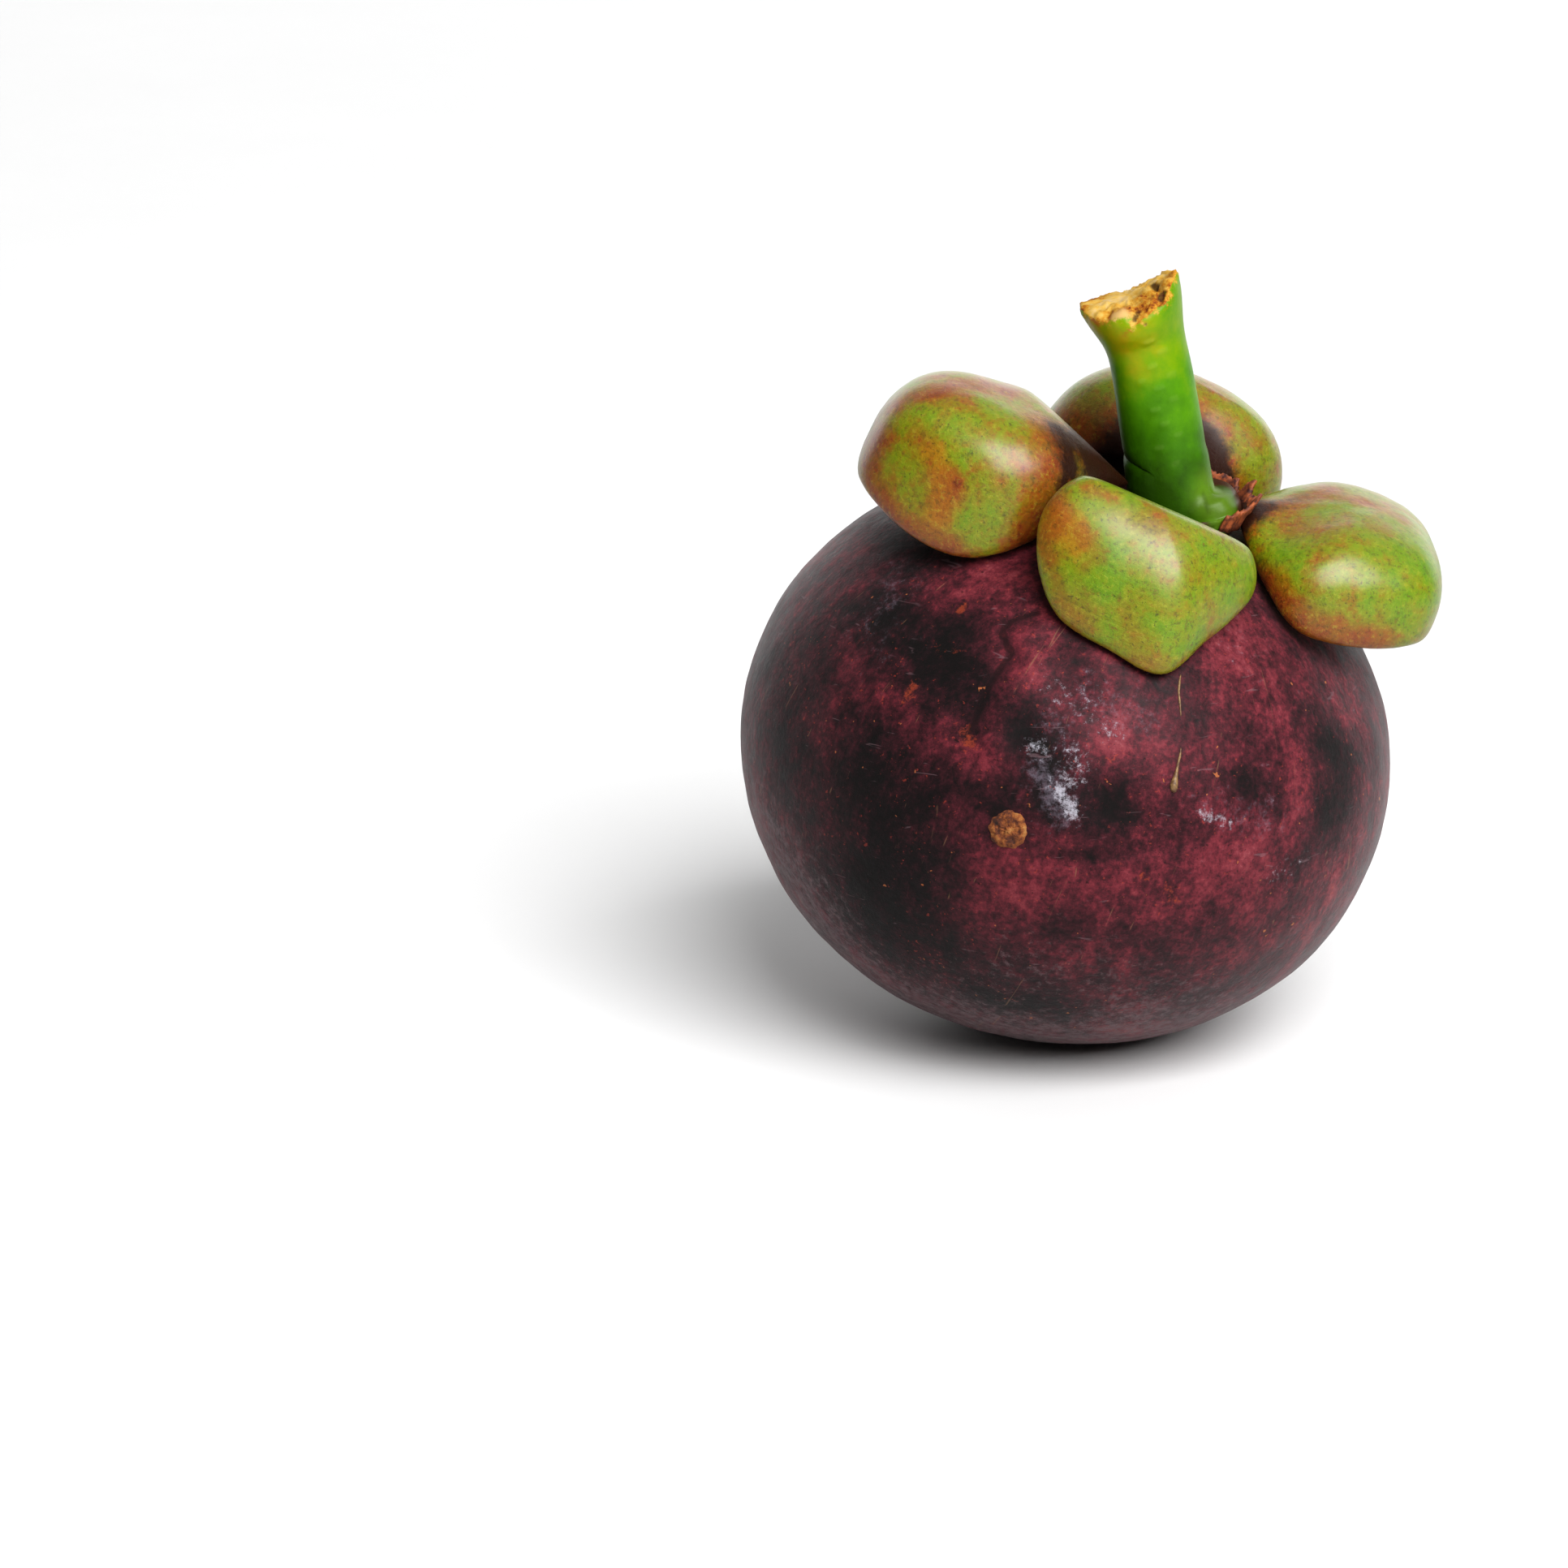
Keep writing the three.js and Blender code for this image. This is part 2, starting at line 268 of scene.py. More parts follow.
def paint(piece, masks):
    """For each mask its strokes: half width in mm, strength and the line that the stroke follows."""
    skin, points = skin_of(piece), points_of(piece)
    for mask, strokes in masks.items():
        worth = np.zeros(len(points))
        for half_width, strength, line in strokes:
            worth = np.maximum(worth, strength * nearness(points, skin, half_width, line))
        keep_mask(piece, mask, worth)


# %% [markdown]
# ## The rind
# A mangosteen's rind is a thick, leathery, slightly lopsided ball. It starts as a UV sphere whose poles lie
# on the stem's line, so that its rows of faces run the way the fruit grew, and Shrinkwrap lays it on a
# rounded copy of the solid. A sphere's even faces take displacement better than the solid's own.

# %% The rind's form
STEM_LINE = Vector((0.350, -0.130, 0.928))  # from the blossom end to the stem
RIND_SEGMENTS, RIND_RINGS = 192, 128
LOOSE_RADIUS = 34 * MM  # outside the solid all round, so that Shrinkwrap draws it in

lowest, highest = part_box("rind")
fruit_centre = (lowest + highest) / 2
fruit_turn = STEM_LINE.to_track_quat("Z", "Y").to_euler()

rind_form = rounded_copy("rind", "rind_form", 2)
bpy.ops.mesh.primitive_uv_sphere_add(
    segments=RIND_SEGMENTS, ring_count=RIND_RINGS, radius=LOOSE_RADIUS,
    location=fruit_centre, rotation=fruit_turn,
)
rind = settled("rind_skin")
apply(rind, "SHRINKWRAP", target=rind_form, wrap_method="PROJECT", use_negative_direction=True)
bpy.data.objects.remove(rind_form)
apply(rind, "SUBSURF", levels=1)
report(rind)

# %% [markdown]
# Two displacements give the skin its hand-feel: broad soft unevenness and a finer leathery grain. Then the
# fruit's own marks are pressed in: a healed crease under the front sepal, a low step along the widest part
# where the lower skin stands back, and shallow dents where neighbours lay on the tree.

# %% The rind's unevenness and marks
UNEVENNESS = {"soft_swells": (9, 0.28), "leather_grain": (1.6, 0.06)}  # size and height in mm
CREASE = [
    (1277, 756), (1245, 766), (1234, 780), (1247, 806), (1232, 826), (1217, 847), (1207, 875), (1197, 902),
]
STEP = [(1290, 1054), (1340, 1052), (1390, 1050), (1440, 1044), (1490, 1032)]
CREASE_TO_SWELLING, STEP_TO_SWELLING = (30, 8), (0, -32)  # each has a swelling beside it, this far off
DENTS = [(0.25, 2.5, [(1380, 1000), (1440, 1005)]), (0.2, 3.0, [(1150, 810), (1190, 860)])]
FLAT_SPOT_DEPTH = 0.1 * MM  # what comes nearer to the table than this is laid on it

for name, (size, strength) in UNEVENNESS.items():
    grain = bpy.data.textures.new(name, "CLOUDS")
    grain.noise_scale = size * MM
    apply(rind, "DISPLACE", texture=grain, texture_coords="LOCAL", strength=strength * MM, mid_level=0.5)
press(rind, [
    (0.1, 0.7, CREASE),
    (-0.2, 1.8, [(x + CREASE_TO_SWELLING[0], y + CREASE_TO_SWELLING[1]) for x, y in CREASE]),
    (0.16, 0.9, STEP),
    (-0.12, 2.2, [(x + STEP_TO_SWELLING[0], y + STEP_TO_SWELLING[1]) for x, y in STEP]),
] + DENTS)
points = points_of(rind)
points[:, 2] = np.where(points[:, 2] < FLAT_SPOT_DEPTH, 0.0, points[:, 2])
rind.data.vertices.foreach_set("co", points.ravel())
only(rind)
bpy.ops.object.shade_smooth()
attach(rind, "root")
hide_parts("rind")
report(rind)

# %% [markdown]
# The colour of the rind isn't even: black-purple bruises, redder windows, a bloom of white wax rubbed off
# in places, and small corky flecks. The bruise mask also holds painted shadow down the left side and along
# the bottom, and a near-black line of painted shade follows the crease and the step. Each is brushed on
# where it is, as a mask. A stroke is its half width in mm, its strength and its line.

# %% Brushing the rind's patches
RIND_STROKES = {
    # black-purple patches; the wide strokes down the left side and along the bottom are painted shadow, and
    # the faint strokes along the crease and the step are painted shade
    "bruise_and_painted_shadow": [
        (2.2, 0.45, [(1318, 805), (1340, 850)]), (3.6, 0.8, [(1085, 765), (1125, 805), (1165, 850)]),
        (2.8, 0.85, [(1165, 790), (1205, 835), (1195, 880)]),
        (2.6, 0.75, [(1250, 880), (1290, 930), (1300, 985)]),
        (3.4, 0.8, [(1370, 985), (1400, 1005), (1445, 1015)]), (2.4, 0.6, [(1180, 960), (1220, 985)]),
        (7.0, 0.95, [(1085, 980), (1090, 1080), (1115, 1150)]),
        (3.0, 0.8, [(1625, 905), (1660, 945), (1640, 980)]), (2.0, 0.5, [(1530, 960), (1570, 975)]),
        (2.5, 0.5, [(1160, 690), (1120, 700)]), (0.8, 0.4, CREASE), (0.7, 0.5, STEP),
        (4.0, 0.55, [(1150, 1190), (1300, 1240)]), (6.0, 0.5, [(990, 800), (985, 900)]),
    ],
    "blush": [
        (5.5, 0.35, [(1300, 820), (1380, 860)]), (4.5, 0.7, [(1390, 900), (1430, 940)]),
        (4.0, 0.8, [(1500, 780), (1560, 830), (1600, 900)]),
        (4.5, 0.85, [(1480, 1010), (1420, 1060), (1540, 1020)]), (4.5, 0.5, [(1180, 720), (1240, 720)]),
        (3.0, 0.55, [(1225, 800), (1240, 860), (1200, 930)]),
        (6.0, 0.4, [(1250, 1120), (1400, 1130), (1500, 1100)]), (4.0, 0.35, [(1090, 880), (1150, 930)]),
    ],
    "wax": [
        (0.8, 0.95, [(1304, 970), (1312, 985), (1322, 1003)]),
        (1.7, 0.55, [(1318, 925), (1330, 950), (1312, 965)]), (1.2, 0.5, [(1272, 918), (1290, 930)]),
        (1.5, 0.42, [(1345, 890), (1372, 905)]), (2.4, 0.36, [(1300, 850), (1340, 870)]),
        (0.7, 0.62, [(1480, 1000), (1496, 1008), (1517, 1012)]), (1.6, 0.4, [(1570, 1080), (1600, 1060)]),
    ],
    # painted shade: a near-black line along the crease and the step
    "fold_shade": [(0.9, 1.0, CREASE), (0.8, 0.75, STEP), (0.7, 0.8, [(1440, 1048), (1475, 1030), (1500, 1020)])],
    "haze": [
        (1.8, 0.5, [(1300, 885), (1318, 925)]), (2.0, 0.75, [(1288, 950), (1308, 1000)]),
        (3.2, 0.45, [(1340, 860), (1400, 880)]), (3.5, 0.35, [(1500, 770), (1530, 800)]),
        (3.0, 0.4, [(1500, 1000), (1560, 1010)]), (4.0, 0.35, [(1100, 720), (1080, 780)]),
    ],
    "cork": [
        (0.55, 0.9, [(1187, 746), (1183, 752)]), (0.9, 0.75, [(1190, 905), (1196, 915)]),
        (0.6, 0.6, [(1126, 842), (1116, 862)]), (0.7, 0.6, [(1408, 1079), (1411, 1084)]),
        (0.9, 0.55, [(1439, 1094), (1445, 1110)]), (0.8, 0.5, [(1160, 800), (1172, 806)]),
    ],
}
paint(rind, RIND_STROKES)
print("rind masks:", [a.name for a in rind.data.attributes if a.data_type == "FLOAT"])

# %% [markdown]
# ## The sepals
# The four sepals are thick fleshy hoods that stay on the ripe fruit. Their solids already have the right
# swelling, so each is a rounded copy. A little displacement takes the machine smoothness away, and each neck
# is drawn in until it meets the foot of the stem. The front one grew against the stem, so its ridge there is
# smoothed away and its top trimmed flat. The left one is trimmed where it falls off towards the stem.

# %% The sepals' form
STEM_FOOT = Vector((7.16, -2.1, 48.6)) * MM  # where the stem's line leaves the rind
NECK_PULLS = {  # how far each neck is drawn in, in mm, until it meets the foot of the stem
    "sepal_right": 0.9, "sepal_back": 0.9, "sepal_left": 2.2, "sepal_front": 2.4
}
NECK_REACH = 7 * MM, 11 * MM  # from the stem's line: drawn in up to the first, not past the second
DIMPLE_SIZE, DIMPLE_HEIGHT = 4 * MM, 0.22 * MM
RIDGE = [(1440, 650), (1462, 690), (1470, 720)]
RIDGE_ROUNDS, RIDGE_WIDTH = 150, 4.5  # rounds of smoothing, and its half width in mm
TRIMS = {  # the two ends of a line, and how far in mm the sepal may still stand over it
    "sepal_front": ((1331, 588), (1541, 680), 0.6), "sepal_left": ((1252, 470), (1330, 545), 0.5)
}

dimples = bpy.data.textures.new("fleshy_dimples", "CLOUDS")
dimples.noise_scale = DIMPLE_SIZE
sepals = {}
for name, pull in NECK_PULLS.items():
    piece = rounded_copy(name, name + "_flesh", 2)
    apply(piece, "DISPLACE", texture=dimples, texture_coords="LOCAL", strength=DIMPLE_HEIGHT, mid_level=0.5)
    for vertex in piece.data.vertices:
        spoke = vertex.co - STEM_FOOT
        spoke -= STEM_LINE * spoke.dot(STEM_LINE)
        vertex.co -= spoke.normalized() * pull * MM * float(fade(spoke.length, *NECK_REACH))
    only(piece)
    bpy.ops.object.shade_smooth()
    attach(piece, "root")
    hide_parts(name)
    sepals[name] = piece
    report(piece)
soften(sepals["sepal_front"], RIDGE_ROUNDS, RIDGE_WIDTH, RIDGE)
for name, trim in TRIMS.items():
    flatten(sepals[name], *trim)

# %% [markdown]
# Where a sepal nears the rind its margin is thin, dry and browned, and towards the stem it darkens to
# purple-brown, deepened towards black by painted shade in the hollow round the stem. Both follow from
# distances, so they are measured and not brushed.

# %% Margins and bases of the sepals
BASES = {  # how far from the stem's line each base stays dark, and where it has faded, in mm
    "sepal_right": (5.5, 10.0), "sepal_back": (9.0, 13.5), "sepal_left": (9.5, 13.5),
    "sepal_front": (6.5, 8.5),
}
EDGE_REACH, MARGIN_REACH = (0.6 * MM, 1.5 * MM), (1.0 * MM, 4.0 * MM)  # from the rind: whole, faded

rind_skin = skin_of(rind)
for name, piece in sepals.items():
    gap = np.array([rind_skin.find_nearest(v.co)[3] for v in piece.data.vertices])
    from_line = np.array([(v.co - STEM_FOOT).cross(STEM_LINE).length for v in piece.data.vertices])
    keep_mask(piece, "edge", fade(gap, *EDGE_REACH))
    keep_mask(piece, "margin", fade(gap, *MARGIN_REACH))
    near, far = BASES[name]
    keep_mask(piece, "base", fade(from_line, near * MM, far * MM))
print("sepal masks measured")

# %% [markdown]
# Each sepal ripened in its own patches. `brown` is reddish tissue, `green` still unripe, and `gold` the
# yellow of a healing scar. `dark` is purple-brown tissue and, where the necks sink in beside the stem,
# painted shade.

# %% Brushing the sepals' patches
SEPAL_STROKES = {
    "sepal_left": {
        "brown": [
            (1.5, 0.9, [(1100, 500), (1150, 482), (1200, 474), (1240, 480)]),
            (1.8, 0.85, [(1080, 540), (1070, 590), (1095, 630)]), (1.4, 0.7, [(1165, 590), (1175, 610)]),
            (1.5, 0.95, [(1120, 650), (1170, 672), (1240, 682)]), (0.9, 0.9, [(1172, 585), (1176, 592)]),
            (1.2, 0.6, [(1165, 610), (1160, 640)]), (2.2, 1.0, [(1286, 520), (1294, 590)]),
            (2.4, 0.95, [(1295, 620), (1270, 660)]), (1.3, 0.5, [(1130, 530), (1145, 545)]),
        ],
        "green": [
            (2.0, 0.85, [(1135, 505), (1160, 540)]), (1.4, 0.6, [(1110, 590), (1115, 610)]),
            (1.0, 0.75, [(1172, 515), (1175, 555)]), (1.6, 0.7, [(1220, 635), (1190, 645)]),
        ],
        "gold": [
            (1.8, 0.9, [(1150, 560), (1165, 600), (1155, 640)]), (1.2, 0.5, [(1260, 510), (1280, 540)]),
        ],
        # the neck's purple-brown, with painted shade in the hollow between it and the stem
        "dark": [
            (3.0, 1.0, [(1318, 540), (1345, 560), (1390, 600)]),
            (1.7, 1.0, [(1306, 530), (1318, 570), (1310, 620)]),
        ],
    },
    "sepal_front": {
        "brown": [
            (1.4, 1.0, [(1300, 618), (1306, 640), (1290, 660)]), (1.2, 0.8, [(1280, 662), (1296, 690)]),
            (1.2, 0.7, [(1340, 665), (1350, 685), (1335, 700)]), (1.0, 0.6, [(1300, 710), (1310, 735)]),
            (0.9, 0.6, [(1340, 602), (1370, 612)]), (2.0, 0.5, [(1380, 640), (1440, 655)]),
            (1.0, 0.75, [(1330, 655), (1345, 662)]), (1.4, 0.5, [(1330, 725), (1345, 750)]),
            (1.4, 0.55, [(1385, 750), (1400, 785)]), (1.2, 0.55, [(1315, 745), (1340, 770)]),
            (1.5, 0.45, [(1400, 810), (1425, 820)]), (1.4, 0.35, [(1510, 660), (1530, 680)]),
        ],
        "green": [
            (2.2, 0.85, [(1350, 715), (1370, 760), (1360, 780)]), (3.0, 0.55, [(1500, 680), (1515, 740)]),
            (1.6, 0.5, [(1450, 790), (1480, 780)]),
        ],
        "gold": [(2.1, 1.0, [(1290, 635), (1315, 645), (1325, 670)])],
        "dark": [(0.7, 0.4, [(1400, 640), (1425, 655)]), (0.6, 0.4, [(1390, 670)])],
    },
    "sepal_right": {
        "brown": [
            (1.5, 1.0, [(1560, 625), (1600, 618), (1640, 604)]),
            (1.2, 0.8, [(1650, 592), (1700, 598), (1745, 615)]), (2.2, 0.5, [(1600, 655), (1640, 650)]),
            (1.7, 1.0, [(1560, 715), (1580, 745), (1615, 770), (1660, 788), (1700, 790)]),
            (1.2, 0.45, [(1690, 650), (1710, 655)]),
        ],
        "green": [
            (3.0, 0.9, [(1730, 650), (1740, 700), (1722, 745)]), (1.5, 0.6, [(1578, 680), (1590, 690)]),
        ],
        "gold": [(1.0, 0.6, [(1580, 700), (1590, 735)]), (1.0, 0.7, [(1600, 782), (1660, 795)])],
        "dark": [
            (1.3, 0.45, [(1530, 640), (1560, 625), (1600, 612)]), (1.0, 0.5, [(1555, 690), (1560, 720)]),
        ],
    },
    "sepal_back": {
        "brown": [
            (2.4, 0.8, [(1475, 510), (1490, 560), (1520, 592)]), (1.0, 0.45, [(1500, 478), (1560, 500)]),
            (2.6, 0.95, [(1310, 520), (1370, 530)]),
        ],
        # painted shade in the hollows beside the stem, over purple-brown tissue
        "dark": [
            (2.6, 1.0, [(1310, 555), (1345, 570), (1380, 580)]),
            (1.8, 0.85, [(1482, 540), (1490, 590), (1500, 615)]),
        ],
        "green": [
            (1.5, 0.8, [(1592, 545), (1598, 590)]), (1.4, 0.45, [(1540, 505), (1570, 560)]),
            (1.4, 0.5, [(1305, 492), (1345, 500)]),
        ],
        "gold": [(1.0, 0.5, [(1590, 600), (1595, 605)])],
    },
}
for name, masks in SEPAL_STROKES.items():
    paint(sepals[name], masks)
print("strokes brushed on:", ", ".join(SEPAL_STROKES))

# %% [markdown]
# ## The stem
# A short thick stalk, a rounded copy of its solid too. Small corky dashes are swollen out of its right side
# and a knob out of its broken end. A few pits are pressed into that end, and a seam beside the shoulder.

# %% The stem's form
DASHES = [
    [(1412, 422), (1420, 419)], [(1428, 434), (1437, 430)], [(1416, 452), (1424, 450)],
    [(1440, 462), (1448, 459)], [(1424, 478), (1433, 476)], [(1443, 492), (1450, 490)],
    [(1420, 506), (1428, 504)], [(1432, 523), (1439, 521)], [(1449, 536), (1455, 534)],
    [(1425, 552), (1432, 551)], [(1446, 572), (1452, 570)], [(1405, 470), (1409, 469)],
]
SEAM = [(1483, 604), (1487, 625), (1494, 650)]  # between the stalk and the shoulder beside it
FULLNESS = [(1388, 450), (1388, 500), (1390, 550), (1394, 600)]  # where the stalk is rounder than its solid
KNOB = [(1376, 390), (1384, 388)]
PITS = [[(1422, 352), (1426, 356)], [(1434, 362), (1430, 368)], [(1404, 382), (1398, 394)]]

stem = rounded_copy("stem", "stem_flesh", 2)
press(stem, [(-0.1, 0.28, dash) for dash in DASHES] + [
    (0.08, 0.45, SEAM),
    (-0.55, 2.6, FULLNESS),
    (-0.55, 0.75, KNOB),
    (0.55, 0.45, PITS[0]),
    (0.5, 0.4, PITS[1]),
    (0.35, 0.4, PITS[2]),
])
report(stem)

# %% [markdown]
# The stem was snapped off, so its end is a rough break. `broken` is 1 on the break and fades over its rim. It
# says where seeded noise raises crumbs, and later where the material turns from green skin to dry fibre.

# %% The broken end
CRUMBLY = 0.6, 2.1, 4  # noise: how fast finer layers weaken, how much finer each is, and how many there are
CUT_MIDDLE = Vector((3.4, -2.5, 70.1)) * MM
CUT_FACING = Vector((-0.356, 0.054, 0.932))
CUT_DEPTHS = 2.5 * MM, 4.5 * MM  # below the middle of the cut: broken up to the first, whole past the second
RIM_REACH, RIM_SHARE = (0.2 * MM, 1.5 * MM), 0.42  # how far the break frays into the skin, and how much
NEAR_CUT = 8 * MM  # no frayed skin is lower than this
CUT_TURN, CUT_SPAN = 0.2, 0.5  # cosine to the cut's facing: no break up to it, all break this much beyond
CRUMB_SIZE, CRUMB_HEIGHT = 0.9 * MM, 0.3 * MM

points = points_of(stem)
outward = np.array([v.normal for v in stem.data.vertices])
behind = (points - np.array(CUT_MIDDLE)) @ np.array(CUT_FACING)
faces_up = np.clip((outward @ np.array(CUT_FACING) - CUT_TURN) / CUT_SPAN, 0, 1)
broken = fade(-behind, *CUT_DEPTHS) * faces_up
near_break = behind > -NEAR_CUT
to_break = np.full(len(points), 1.0)
away = np.linalg.norm(points[near_break, None] - points[None, broken > 0.5], axis=2)
to_break[near_break] = away.min(axis=1)
broken = np.maximum(broken, RIM_SHARE * fade(to_break, *RIM_REACH))
keep_mask(stem, "broken", broken)
crumbs = np.array([
    noise.fractal(Vector(p) / CRUMB_SIZE, *CRUMBLY, noise_basis="PERLIN_ORIGINAL") for p in points
])
points += outward * (CRUMB_HEIGHT * crumbs * broken)[:, None]
print("vertices of the break:", int((broken > 0.5).sum()))

# %% [markdown]
# The foot of the stem stands out as a low shoulder on one side. Elsewhere the stalk goes straight down to a
# low collar that the sepals grow from, so what the solid has beyond the stalk's radius there is drawn in. It
# is lowered as well, so that the skin doesn't fold over.

# %% The foot of the stem
STALK_MIDDLE = Vector((6.67, -2.75, 57.0)) * MM
STALK_LINE = Vector((-0.170, -0.050, 0.984))
STALK_RADIUS, STALK_FLATNESS = 3.87 * MM, 1.085  # it is flatter from front to back
STALK_REACH = 0 * MM, 3 * MM  # above its middle: drawn in up to the first, left alone past the second
FLARE_WAY = math.radians(20)  # the side on which the shoulder stands out, seen from above
FLARE_TURN = 0.9, 1.7  # how far round the shoulder is whole, and where it has ended, in radians
SHOULDER_TOP, SHOULDER_SLOPE = 51.4 * MM, 1.5 * MM
COLLAR_TOP, COLLAR_SLOPE = 49.9 * MM, 1.2 * MM
DRAWN_SHARE, LOWERED_SHARE = 0.98, 0.8
FOLD = [(1386, 560), (1405, 576), (1427, 588), (1450, 598)]
FOLD_ROUNDS, FOLD_WIDTH = 50, 1.6  # as for the ridge

from_foot = (points - np.array(STEM_FOOT)) @ np.array(STEM_LINE)
up = (points - np.array(STALK_MIDDLE)) @ np.array(STALK_LINE)
spokes = points - np.array(STALK_MIDDLE) - up[:, None] * np.array(STALK_LINE)
radius = np.linalg.norm(spokes * (1, STALK_FLATNESS, 1), axis=1)
turned = np.abs((np.arctan2(spokes[:, 1], spokes[:, 0]) - FLARE_WAY + 3 * np.pi) % (2 * np.pi) - np.pi)
flared = fade(turned, *FLARE_TURN) * fade(points[:, 2], SHOULDER_TOP, SHOULDER_TOP + SHOULDER_SLOPE)
flared = np.maximum(flared, fade(points[:, 2], COLLAR_TOP, COLLAR_TOP + COLLAR_SLOPE))
drawn_in = DRAWN_SHARE * np.clip(radius - STALK_RADIUS, 0, None) * fade(up, *STALK_REACH) * (1 - flared)
points -= spokes * (drawn_in / radius)[:, None]
points -= np.array(STALK_LINE) * (LOWERED_SHARE * drawn_in)[:, None]
stem.data.vertices.foreach_set("co", points.ravel())
stem.data.update()
soften(stem, FOLD_ROUNDS, FOLD_WIDTH, FOLD)
print("most that the foot is drawn in, mm:", round(drawn_in.max() / MM, 2))

# %% [markdown]
# The stem ripens yellow under the break, and the same mask paints a broad highlight down the middle of the
# stalk. Its shoulder, dashes, knob and pits have colours of their own, and a near-black line of painted
# shade runs down the seam.
# The collar's mask is measured from the stem's line.

# %% Brushing the stem's patches
COLLAR_REACH = 4.5 * MM, 6.0 * MM  # above the stem's foot: whole up to the first, none past the second
STEM_STROKES = {
    # yellowing under the break; the second stroke is a painted highlight down the middle of the stalk
    "yellowing_and_highlight": [
        (2.6, 0.95, [(1345, 400), (1385, 425)]), (1.8, 0.7, [(1395, 440), (1400, 480)]),
        (1.2, 0.6, [(1410, 395)]),
    ],
    "scorch": [(0.5, 0.9, [(1346, 392), (1352, 398)]), (0.4, 0.6, [(1385, 412), (1392, 408)])],
    "shoulder": [(2.4, 1.0, [(1490, 605), (1505, 632)])],
    "dash": [(0.3, 1.0, dash) for dash in DASHES],
    # painted shade: a dark line along the seam between the stalk and the shoulder
    "seam": [(0.45, 0.5, SEAM)],
    "knob": [(0.8, 1.0, KNOB)],
    "pits": [(0.5, 1.0, PITS[0]), (0.45, 1.0, PITS[1]), (0.4, 0.8, PITS[2]), (0.35, 0.8, [(1412, 400)])],
}
paint(stem, STEM_STROKES)
keep_mask(stem, "collar", flared * fade(from_foot, *COLLAR_REACH))
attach(stem, "root")
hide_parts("stem")
report(stem)

# %% [markdown]
# ## The torn ring
# Where the petals fell off, a thin ring of dry tissue is left between the stem and the sepals, ragged and
# curled outward, and most of it gone. It starts as an open cylinder round the stem's foot. The faces beyond
# the part that is left are deleted, its top is drawn up unevenly, and Solidify makes it as thick as bark.

# %% The torn ring's form
RING_RADIUS, RING_DEPTH, RING_SIDES = 6.3 * MM, 1.4 * MM, 72
RING_MIDDLE, RING_FOOT = 3.2, 2.5 * MM  # up the stem's line from its foot, the middle in mm
RING_THICKNESS, RAG_SIZE = 0.28 * MM, 1.1 * MM
STUB, RISE = 0.35, 1.5  # its top is drawn up by the first in mm, and by the second more where it is tallest
RAG_MEAN, RAG_SHARE = 0.55, 0.9  # how much of that is left on average, and how much it varies
WAVE, CURL = 0.25, 0.35  # how far it waves in mm, and how far it curls outward for each mm drawn up
TALL_WIDTH = 0.75  # radians either way over which the ring stays tall
TALLEST = math.radians(5)  # where the ring was torn least, seen from above
TORN_AWAY = math.radians(50)  # nothing is left of it further round than this

bpy.ops.mesh.primitive_cylinder_add(
    vertices=RING_SIDES, radius=RING_RADIUS, depth=RING_DEPTH, end_fill_type="NOTHING",
    location=STEM_FOOT + STEM_LINE * RING_MIDDLE * MM, rotation=fruit_turn,
)
ring = settled("torn_ring")
bpy.ops.object.mode_set(mode="EDIT")
bpy.ops.mesh.select_mode(type="FACE")
bpy.ops.mesh.select_all(action="DESELECT")
bpy.ops.object.mode_set(mode="OBJECT")
for face in ring.data.polygons:
    spoke = face.center - STEM_FOOT
    face.select = abs(math.atan2(spoke.y, spoke.x) - TALLEST) > TORN_AWAY
bpy.ops.object.mode_set(mode="EDIT")
bpy.ops.mesh.delete(type="FACE")
bpy.ops.object.mode_set(mode="OBJECT")
apply(ring, "SUBSURF", levels=2, subdivision_type="SIMPLE")
for vertex in ring.data.vertices:
    spoke = vertex.co - STEM_FOOT
    up = spoke.dot(STEM_LINE)
    spoke -= STEM_LINE * up
    share = min(max((up - RING_FOOT) / RING_DEPTH, 0), 1)  # 0 at the ring's foot, 1 at its top
    turn = math.atan2(spoke.y, spoke.x)
    ragged = noise.fractal(spoke / RAG_SIZE, *CRUMBLY, noise_basis="PERLIN_ORIGINAL")
    taller = STUB + RISE * math.exp(-((turn - TALLEST) / TALL_WIDTH) ** 2)
    vertex.co += STEM_LINE * share * (taller * (RAG_MEAN + RAG_SHARE * ragged)) * MM
    vertex.co += spoke.normalized() * (WAVE * ragged + CURL * share ** 2 * taller) * MM
apply(ring, "SOLIDIFY", thickness=RING_THICKNESS, offset=0)
bpy.ops.object.shade_smooth()
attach(ring, "root")
report(ring)

# %% [markdown]
# ## The rosette
# Under the fruit sits the dried stigma, flat woody wedges round a middle: as many as there are segments
# inside. It is small and nearly out of sight, so a rounded copy of its solid is enough.

# %% The rosette's form
rosette = rounded_copy("stigma_rosette", "stigma_wedges", 1)
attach(rosette, "root")
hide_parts("stigma_rosette")
report(rosette)

# %% [markdown]
# ## A corky scab
# Where an insect once fed, the rind grew a raised round scab of cork with rings like a coil. It starts as a
# filled circle on the rind and is inset ring by ring, each ring a little higher or lower than the last.

# %% The scab's form
SCAB_AT, SCAB_RADIUS, SCAB_SUNK = (1243, 1022), 1.75 * MM, 0.16 * MM
SCAB_SIDES, SCAB_SEED = 32, 7
SCAB_RINGS = [  # inset and rise of each ring, in mm
    (0.3, 0.26), (0.28, 0.1), (0.26, -0.12), (0.26, 0.14), (0.26, -0.1), (0.16, 0.1),
]
SCAB_MIDDLE, SHAKE, LIFT = 0.2, 0.14, 0.05  # mm: the middle stays smooth, the rest is shaken and lifted

